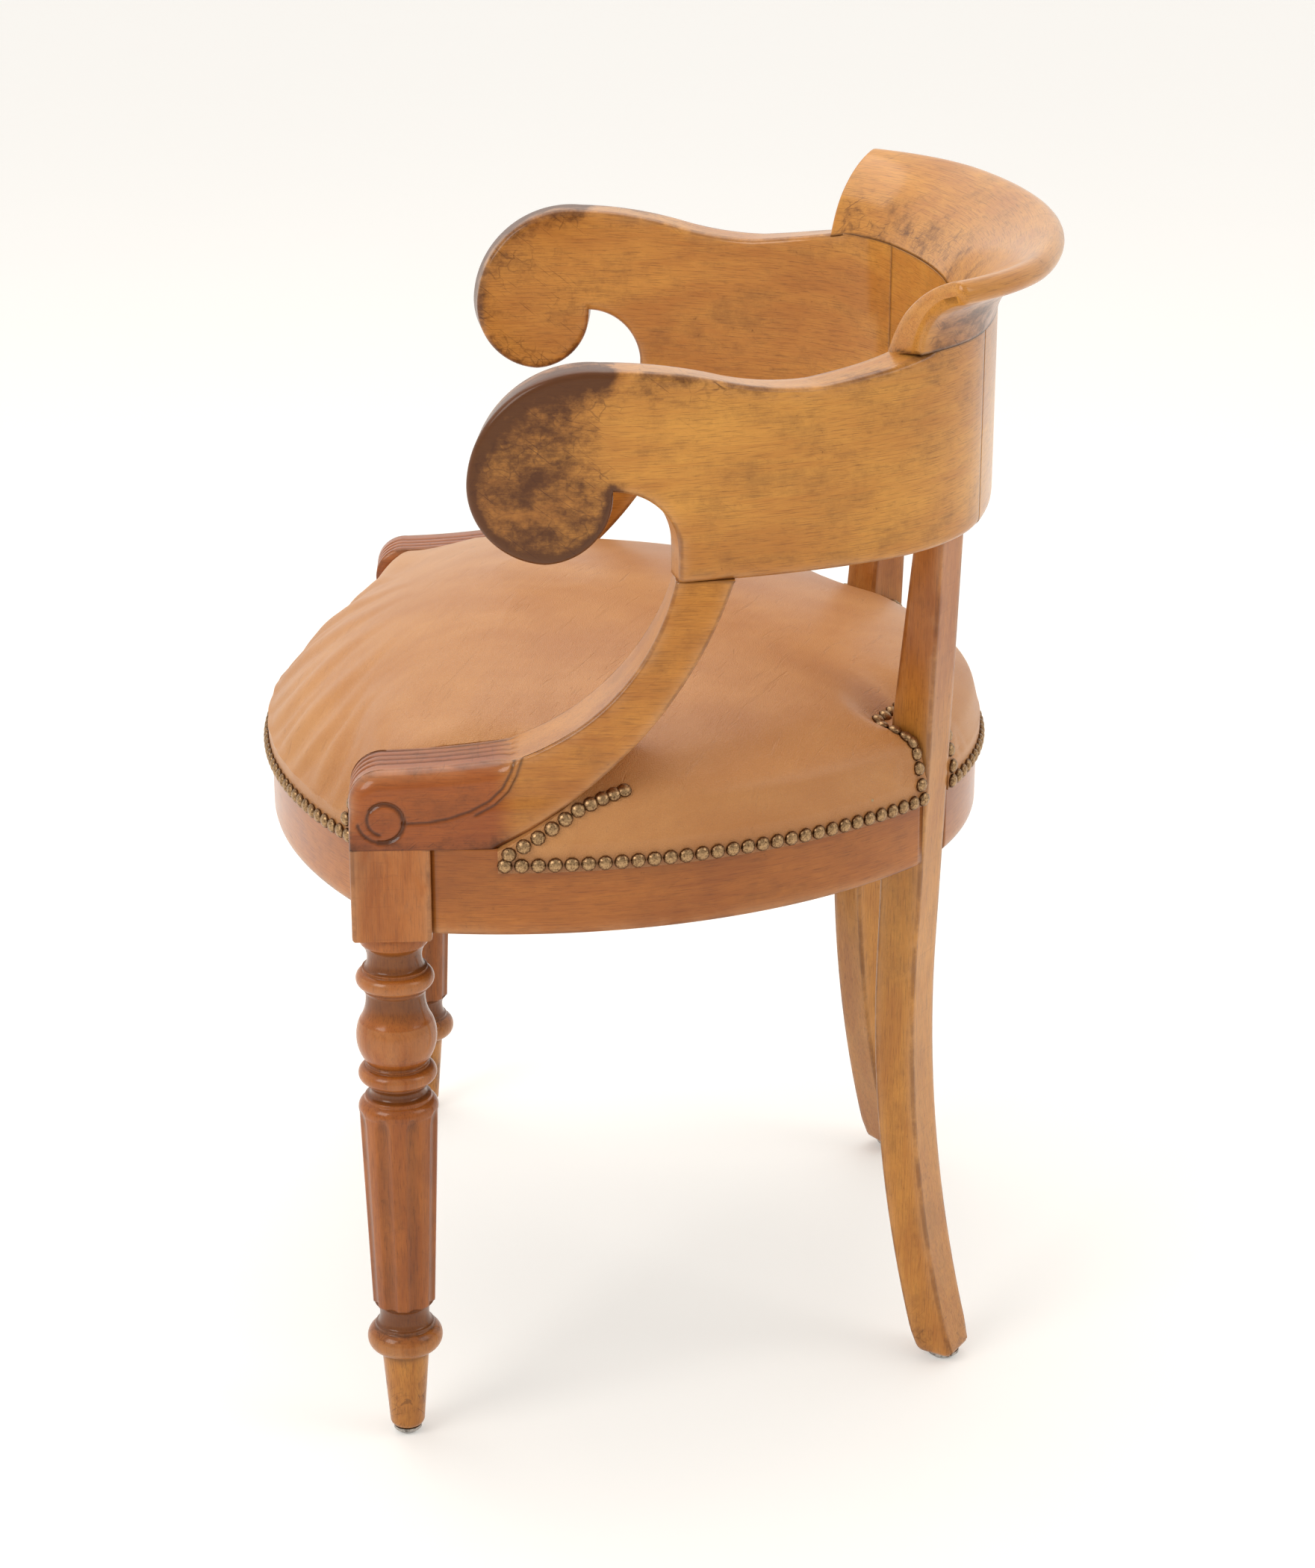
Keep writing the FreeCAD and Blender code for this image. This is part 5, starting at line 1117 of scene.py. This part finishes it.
def polished_wood(name, gold, red, polish, gloss):
    """Old polished wood. Soft clouds of tone, streaks, pores and fibres run along the grain, from the golden to the
    red wood as a piece asks. Brown stains lie over it in broken patches, dark polish where hands have been and in
    seams and hollows, painted shade where a piece carries it, with scratches and crackle. The arrises are rubbed
    pale, with a dark line along them, and the coat is duller where the polish is worn."""
    material, wire = new_material(name)
    grain = wire.node("Attribute", {"attribute_name": "grain"}, None, 1)
    edge, seam, soot, redness = (wire.carried(name) for name in ("edge", "seam", "soot", "red"))
    # Noise of all sizes, stretched along the grain.
    broad = grain.stretched(5.0, 13.0, 13.0).noise(1.0, 3.0, 0.55, 0.8)
    blotch = grain.stretched(14.0, 34.0, 34.0).noise(1.0, 5.0, 0.62, 0.6)
    streak = grain.stretched(14.0, 300.0, 300.0).noise(1.0, 4.0, 0.62, 0.4)
    fibre = grain.stretched(60.0, 1400.0, 1400.0).noise(1.0, 2.0, 0.6)
    pore = grain.stretched(120.0, 900.0, 900.0).noise(1.0, 1.0, 0.5).between(0.64, 0.72)
    grit = grain.noise(170.0, 6.0, 0.75)
    patchy = grain.stretched(1.0, 1.3, 1.3).noise(30.0, 6.0, 0.72)
    tint = (broad * 0.4 + blotch * 0.35 + streak * 0.25).between(0.36, 0.64).blend(
        redness.blend(gold[1], red[1]), redness.blend(gold[0], red[0])
    )
    tint = (fibre.between(0.48, 0.7) * 0.34 + pore * 0.18).blend(tint, polish)
    # Stains, dark polish and painted shade where a piece carries them, specks over it, and rubbed arrises.
    stain = (streak * 0.3 + blotch * 0.45 + patchy * 0.45 + grit * 0.2).between(0.66, 0.86)
    tint = (stain * (0.4 + soot * 0.3)).blend(tint, [value * 2.2 for value in polish[:3]] + [1])
    # This darkening is dark polish on most pieces and painted shade low on the crest rail.
    tint = (soot.between(0.1, 1.0) * 0.45).blend(tint, [value * 3.5 for value in polish[:3]] + [1])
    speck = grit.between(0.62, 0.7) * blotch.between(0.38, 0.6) * 0.5
    tint = speck.blend(tint, polish)
    rub = edge * (1 - soot) * blotch.between(0.3, 0.6) * 0.4
    tint = rub.blend(tint, RUBBED_WOOD)
    # Scratches in two directions, and crackle where the polish is thick.
    scratch = grain.turned(0.9).stretched(900.0, 26.0, 26.0).noise(1.0, 3.0, 0.6).between(0.64, 0.68)
    scratch = scratch + grain.turned(-0.25).stretched(30.0, 1000.0, 60.0).noise(1.0, 3.0, 0.6).between(0.66, 0.7)
    sway = wire.node("TexNoise", None, {"Vector": grain, "Scale": 60.0}, 1)
    bent = wire.node("VectorMath", {"operation": "MULTIPLY_ADD"}, {0: sway, 1: (0.02, 0.02, 0.02), 2: grain})
    crackle = (1 - bent.cells(65.0).between(0.01, 0.05)) * blotch.between(0.46, 0.58) * soot.between(0.2, 0.5)
    tint = ((scratch * (0.1 + soot.between(0.1, 0.7) * 0.6)) + crackle * 0.4).blend(tint, polish)
    # Patches of old polish, a line along each arris, and dirt in the seams.
    fleck = grain.stretched(1.0, 1.5, 1.5).noise(75.0, 5.0, 0.7)
    patch = (soot * 0.46 + patchy * 0.65 + fleck * 0.4 + edge * soot * 0.2 + grit * 0.2).between(0.82, 1.12)
    tint = (patch * 0.88).blend(tint, polish)
    line = edge.between(0.7, 0.95) * patchy.between(0.34, 0.6) * 0.5
    tint = line.blend(tint, ARRIS_WOOD)
    tint = (seam * 0.85).blend(tint, SEAM_WOOD)
    dull = blotch * 0.1 + patch * 0.12 + speck * 0.3
    wave = grain.noise(28.0, 2.0, 0.5)
    finished(
        wire, fibre * 0.25 + grit * 0.3 + wave * 1.2 + patch * -0.3 + scratch * -0.3, 0.1, 0.002,
        Base_Color=tint, Roughness=gloss + dull, Coat_Weight=0.62 - dull, Coat_Roughness=0.15, Specular_IOR_Level=0.1,
    )
    return material


def bare_wood(name, light, dark):
    """Unpolished frame wood: fibres and soft clouds along its own axes."""
    material, wire = new_material(name)
    place = wire.place()
    cloud = place.noise(24.0, 3.0, 0.6)
    fibre = place.stretched(40.0, 700.0, 700.0).noise(1.0, 2.0, 0.6)
    finished(
        wire, fibre, 0.2, 0.001,
        Base_Color=(cloud * 0.6 + fibre * 0.4).between(0.3, 0.7).blend(dark, light), Roughness=0.66 + fibre * 0.15,
    )
    return material


def seat_leather(name, light, dark):
    """Tan leather: soft clouds of colour, fine pebbles, creases with painted shade along their lines, and a darker
    tone towards the nailed edges.
    """
    material, wire = new_material(name)
    place = wire.place()
    hem_darkening = wire.carried("edge")
    cloud = place.stretched(1.0, 0.6, 1.0).noise(8.0, 4.0, 0.6, 0.4)
    fine = place.noise(900.0, 2.0, 0.6)
    pebble = place.cells(700.0).between(0.0, 0.2)
    turned = place.turned(0.5)
    crease = turned.stretched(14.0, 55.0, 30.0).noise(1.0, 5.0, 0.68, 1.0)
    line = turned.stretched(22.0, 150.0, 60.0).noise(1.0, 3.0, 0.6, 1.5).between(0.6, 0.7)
    tint = (cloud * 0.75 + fine * 0.1 + crease * 0.15).between(0.34, 0.68).blend(dark, light)
    # Painted shade: the crease lines are darkened as well as dented.
    tint = (line * cloud.between(0.45, 0.6) * 0.25).blend(tint, CREASE_SHADE_LEATHER)
    # Darker towards the nailed hem and low on the front.
    tint = (hem_darkening * (0.25 + cloud * 0.5)).blend(tint, HEM_DARK_LEATHER)
    finished(
        wire, pebble * 0.25 + fine * 0.2 + crease * 1.8 + line * -0.8, 0.42, 0.0018,
        Base_Color=tint, Roughness=0.42 + cloud * 0.12, Coat_Weight=0.25 + cloud * 0.2, Coat_Roughness=0.3,
        Specular_IOR_Level=0.3,
    )
    return material


def aged_metal(name, bright, dark, scale, gloss):
    """Old metal: bright where it is rubbed, brown in the hollows, with a mottled gloss."""
    material, wire = new_material(name)
    place = wire.place()
    edge = wire.carried("edge")
    mottle = place.noise(scale, 3.0, 0.6)
    worn = (mottle.between(0.35, 0.7) * 0.7 + edge * 0.8).between(0.0, 1.0)
    finished(
        wire, mottle, 0.15, 0.0006,
        Base_Color=worn.blend(bright, dark), Roughness=gloss + mottle * 0.2, Metallic=1.0,
    )
    return material


def plain_weave(name, light, dark, threads):
    """Woven cloth: two crossed sets of threads, each over and under, in two tones."""
    material, wire = new_material(name)
    place = wire.place()
    split = wire.node("SeparateXYZ", None, {0: place})
    other = Wire(wire.tree, split.socket.node.outputs[1])
    warp = (split * threads).math("SINE", split * threads)
    weft = (other * threads).math("SINE", other * threads)
    weave = (warp * weft).between(-1.0, 1.0)
    slub = place.noise(160.0, 3.0, 0.6)
    finished(
        wire, weave + slub * 0.6, 0.35, 0.0008,
        Base_Color=(weave * 0.5 + slub * 0.5).between(0.2, 0.8).blend(dark, light), Roughness=0.86 + slub * 0.1,
    )
    return material


# ------------------------------------------------------------------ what a user would change


def tone(name, description, *colour):
    """A colour that a user can change."""
    return bpy.props.FloatVectorProperty(
        name=name, description=description, subtype="COLOR", size=4, default=(*colour, 1)
    )


class ArmchairFinishes(bpy.types.PropertyGroup):
    """Colours and gloss of the wood, the leather and the metal."""

    gold_light: tone("Golden wood, light", "Pale tone of the arms and the back", 0.68, 0.32, 0.055)
    gold_dark: tone("Golden wood, dark", "Deep tone of the arms and the back", 0.47, 0.18, 0.028)
    red_light: tone("Red wood, light", "Pale tone of the legs, rails and carving", 0.39, 0.1, 0.014)
    red_dark: tone("Red wood, dark", "Deep tone of the legs, rails and carving", 0.22, 0.046, 0.007)
    polish: tone("Old polish", "Dark polish in patches and hollows", 0.062, 0.017, 0.004)
    gloss: bpy.props.FloatProperty(
        name="Roughness of the polish", description="Lower is glossier", subtype="FACTOR", default=0.34, min=0, max=1
    )
    leather_light: tone("Leather, light", "Rubbed tan of the seat", 0.56, 0.262, 0.085)
    leather_dark: tone("Leather, dark", "Deeper tan of the seat", 0.44, 0.178, 0.05)
    brass: tone("Brass", "Rubbed brass of the nails", 0.46, 0.29, 0.145)


class ArmchairSizes(bpy.types.PropertyGroup):
    """Sizes of the small forms that the solids leave plain."""

    nail_radius: bpy.props.FloatProperty(
        name="Nail radius", description="Half the width of a nail head, in millimetres", default=4.9, min=2, max=8
    )
    flute_depth: bpy.props.FloatProperty(
        name="Flute depth", description="Depth of the front legs' flutes, in millimetres", default=1.9, min=0.5, max=5
    )
    flutes: bpy.props.IntProperty(name="Flutes", description="Flutes round each front leg", default=8, min=4, max=16)


class ArmchairStage(bpy.types.PropertyGroup):
    """The floor and the light."""

    floor: tone("Floor", "Colour of the pale floor", 0.78, 0.765, 0.74)
    glow: bpy.props.FloatProperty(name="Floor glow", description="Light that the floor itself gives", default=0.36)
    key: bpy.props.FloatProperty(
        name="Key light", description="Power of the main soft light", unit="POWER", default=36.0
    )
    sky: bpy.props.FloatProperty(name="Surround", description="Strength of the even light all round", default=1.0)


# ------------------------------------------------------------------ operators


def wood(context):
    """The polished wood of all the shown frame, made once."""
    name = "polished_wood"
    found = bpy.data.materials.get(name)
    if found:
        return found
    look = context.scene.armchair_finishes
    gold = look.gold_light[:], look.gold_dark[:]
    red = look.red_light[:], look.red_dark[:]
    return polished_wood(name, gold, red, look.polish[:], look.gloss)


def tinted(made, red):
    """A wooden surface with a share of the red wood's colour, as one number or one for each point."""
    made[2]["red"] = red + 0 * made[2]["red"]
    return made


def lay_floor(look):
    """A wide pale floor with a little dust, that gives some light itself."""
    x, y = np.meshgrid([-FLOOR_HALF, FLOOR_HALF], [-FLOOR_HALF, FLOOR_HALF], indexing="ij")
    mesh = bpy.data.meshes.new("floor")
    mesh.from_pydata(stacked(x, y, 0 * x).reshape(-1, 3), [], quads(np.arange(4).reshape(2, 2))[:, ::-1])
    material, wire = new_material("floor")
    dusty = [value * 0.985 for value in look.floor[:3]] + [1]
    feed(
        wire, Base_Color=wire.place().noise(3.0, 4.0, 0.6).blend(look.floor[:], dusty), Roughness=0.6,
        Specular_IOR_Level=0.25, Emission_Color=look.floor[:], Emission_Strength=look.glow,
    )
    mesh.materials.append(material)
    floor = put("floor", mesh)


def light_surround(scene, look):
    """Even light all round, dimmer on the chair's left."""
    world = bpy.data.worlds.new("surround")
    world.use_nodes = True
    air = Wire(world.node_tree)
    sideways = air.node("SeparateXYZ", None, {0: air.node("TexCoord", None, None, 0)})
    wall = sideways.between(-0.5, 0.7).blend(*WALL_LIGHT)
    air.fill(world.node_tree.nodes["Background"], {0: wall, 1: look.sky})
    scene.world = world


def set_lamps(look):
    """Three soft lamps aimed at the seat: each one's place, size and share of the key light's power."""
    for name, place, size, share in (
        ("key", (1.7, -2.1, 2.3), 1.5, 1.0),
        ("side", (0.9, 2.5, 2.4), 1.6, 0.45),
        ("top", (-0.9, -0.3, 2.8), 2.2, 0.75),
    ):
        lamp = bpy.data.lights.new(name, "AREA")
        lamp.size = size
        lamp.energy = look.key * share
        lamp.color = LAMP_COLOUR
        stand = put(name, lamp)
        stand.location = place
        stand.rotation_euler = (Vector(LAMP_AIM) - Vector(place)).to_track_quat("-Z", "Y").to_euler()


def set_camera(scene):
    """The camera of the photograph: its place, its yaw and pitch, and its focal length in pixels."""
    ahead, drop = np.cos(CAMERA_PITCH), np.sin(CAMERA_PITCH)
    forward = Vector((-np.cos(CAMERA_YAW) * ahead, np.sin(CAMERA_YAW) * ahead, -drop))
    right = Vector((np.sin(CAMERA_YAW), np.cos(CAMERA_YAW), 0))
    turn = Matrix((right, right.cross(forward), -forward)).transposed().to_4x4()
    lens = bpy.data.cameras.new("camera")
    lens.sensor_width = SENSOR
    lens.lens = FOCAL_PIXELS * SENSOR / PHOTO_HEIGHT
    camera = put("camera", lens)
    camera.matrix_world = Matrix.Translation(CAMERA_PLACE) @ turn
    scene.camera = camera


class ARMCHAIR_OT_stage(bpy.types.Operator):
    """Lays the pale floor and sets the lights and the camera of the photograph"""

    bl_idname = "armchair.stage"
    bl_label = "Studio"

    def execute(self, context):
        look = context.scene.armchair_stage
        lay_floor(look)
        light_surround(context.scene, look)
        set_lamps(look)
        set_camera(context.scene)
        context.scene.view_settings.view_transform = "Standard"
        return {"FINISHED"}


class ARMCHAIR_OT_horseshoe(bpy.types.Operator):
    """Builds the two arms, the back panel and the crest rail"""

    bl_idname = "armchair.horseshoe"
    bl_label = "Arms and back"

    def execute(self, context):
        make_pair("arm", tinted(arm_shape(), 0.05), wood(context), "wood")
        make("back_panel_wood", tinted(back_shape(), 0.05), wood(context), "wood", "back_panel")
        make("crest_rail_wood", tinted(crest_shape(), 0.1), wood(context), "wood", "crest_rail")
        return {"FINISHED"}


class ARMCHAIR_OT_supports(bpy.types.Operator):
    """Builds the two carved arm supports"""

    bl_idname = "armchair.supports"
    bl_label = "Arm supports"

    def execute(self, context):
        left = support_shape()
        left = tinted(left, 0.4 + 0.6 * (1 - ease(left[2]["grain"][:, 0], -112, -90)))
        make_pair("arm_support", left, wood(context), "turned_wood")
        return {"FINISHED"}


class ARMCHAIR_OT_legs(bpy.types.Operator):
    """Builds the turned front legs and the sabre rear legs"""

    bl_idname = "armchair.legs"
    bl_label = "Legs"

    def execute(self, context):
        sizes = context.scene.armchair_sizes
        front = front_leg_shape(sizes.flutes, sizes.flute_depth)
        front = tinted(front, 0.2 + 0.65 * ease(front[0][:, 2], 50, 90))
        make_pair("front_leg", front, wood(context), "turned_wood")
        rear = rear_leg_shape()
        rear = tinted(rear, 0.25 + 0.5 * ease(rear[0][:, 2], 420, 520))
        make_pair("rear_leg", rear, wood(context), "wood")
        return {"FINISHED"}


class ARMCHAIR_OT_rails(bpy.types.Operator):
    """Builds the four bowed seat rails"""

    bl_idname = "armchair.rails"
    bl_label = "Seat rails"

    def execute(self, context):
        side, front, back = (tinted(rail_shape(*bowed), 0.75) for bowed in (SIDE_RAIL, FRONT_RAIL, BACK_RAIL))
        make_pair("side_rail", side, wood(context), "wood")
        make("front_rail_wood", front, wood(context), "wood", "front_rail")
        make("back_rail_wood", back, wood(context), "wood", "back_rail")
        return {"FINISHED"}


class ARMCHAIR_OT_seat(bpy.types.Operator):
    """Builds the padded leather seat and drives its brass nails"""

    bl_idname = "armchair.seat"
    bl_label = "Leather seat and nails"

    def execute(self, context):
        look = context.scene.armchair_finishes
        radius = context.scene.armchair_sizes.nail_radius
        rings, free = seat_surface()
        number = np.arange(rings.shape[0] * rings.shape[1]).reshape(rings.shape[:2])
        hide = seat_leather("seat_hide", look.leather_light[:], look.leather_dark[:])
        # The leather is darker towards the nailed hem, and low on the front.
        low = bell(rings[..., 2] - NAIL_ROW + 2, 7)
        low += 0.3 * bell(rings[..., 2] - 428, 22) * (1 - ease(rings[..., 1], -215, -150))
        made = shape(rings, quads(number, wrap=True), edge=low)
        piece = make("seat_leather_cover", made, hide, "leather", "seat_leather", "seat_stuffing")
        piece.data.set_sharp_from_angle(angle=SHARP_FOLD)
        brass = aged_metal("nail_brass", look.brass[:], BROWN_BRASS, 900.0, 0.28)
        left = np.concatenate([side_nails(), stile_nails()])
        edge = front_nails()
        rows = {
            "nails_front": np.concatenate([hem_row(*FRONT_RAIL, HEM_TRIM), edge, edge * FLIP]),
            "nails_left": left,
            "nails_right": left * FLIP,
            "nails_back": hem_row(*BACK_RAIL, HEM_TRIM),
        }
        for name, wanted in rows.items():
            centre, normal = set_in(rings, free, wanted)
            make(f"{name}_brass", nail_heads(centre, normal, radius), brass, "brass", name)
        return {"FINISHED"}


class ARMCHAIR_OT_frame(bpy.types.Operator):
    """Finishes the solids that stay in view: blocks, dowels, webbing, cloths, tacks and glides"""

    bl_idname = "armchair.frame"
    bl_label = "Hidden frame"

    def execute(self, context):
        steel = aged_metal("glide_steel", *STEEL, 300.0, 0.2)
        beech = bare_wood("frame_beech", *BEECH)
        jute = plain_weave("jute_webbing", *JUTE, 2200.0)
        linen = plain_weave("black_linen", *LINEN, 4200.0)
        corners = ("front_left", "front_right", "rear_left", "rear_right")
        doweled = ("front_rail", "side_rail", "back_rail", "support", "stile", "wall", "crest")
        finish = {
            steel: ["bottom_tacks"] + [f"glide_{place}" for place in corners],
            beech: [f"corner_block_{place}" for place in corners] + [f"{place}_dowels" for place in doweled],
            jute: ["webbing_lengthwise", "webbing_crosswise"],
            linen: ["base_cloth", "bottom_cloth"],
        }
        for material, names in finish.items():
            for name in names:
                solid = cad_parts[name]
                solid.data.materials.clear()
                solid.data.materials.append(material)
        return {"FINISHED"}


class ARMCHAIR_PT_panel(bpy.types.Panel):
    """Lists the pieces of the armchair"""

    bl_idname = "ARMCHAIR_PT_panel"
    bl_label = "Armchair"
    bl_space_type = "VIEW_3D"
    bl_region_type = "UI"
    bl_category = "Armchair"

    def draw(self, context):
        for operator in OPERATORS:
            self.layout.operator(operator.bl_idname)
        for group in (context.scene.armchair_finishes, context.scene.armchair_sizes, context.scene.armchair_stage):
            box = self.layout.box()
            for name in group.__annotations__:
                box.prop(group, name)


OPERATORS = (
    ARMCHAIR_OT_stage,
    ARMCHAIR_OT_horseshoe,
    ARMCHAIR_OT_supports,
    ARMCHAIR_OT_legs,
    ARMCHAIR_OT_rails,
    ARMCHAIR_OT_seat,
    ARMCHAIR_OT_frame,
)
CLASSES = (ArmchairFinishes, ArmchairSizes, ArmchairStage, *OPERATORS, ARMCHAIR_PT_panel)


def register():
    for item in CLASSES:
        bpy.utils.register_class(item)
    bpy.types.Scene.armchair_finishes = bpy.props.PointerProperty(type=ArmchairFinishes)
    bpy.types.Scene.armchair_sizes = bpy.props.PointerProperty(type=ArmchairSizes)
    bpy.types.Scene.armchair_stage = bpy.props.PointerProperty(type=ArmchairStage)


def unregister():
    del bpy.types.Scene.armchair_stage
    del bpy.types.Scene.armchair_sizes
    del bpy.types.Scene.armchair_finishes
    for item in reversed(CLASSES):
        bpy.utils.unregister_class(item)


def main():
    """Builds the whole chair."""
    register()
    bpy.ops.armchair.stage()
    bpy.ops.armchair.horseshoe()
    bpy.ops.armchair.supports()
    bpy.ops.armchair.legs()
    bpy.ops.armchair.rails()
    bpy.ops.armchair.seat()
    bpy.ops.armchair.frame()


if __name__ == "__main__":
    main()
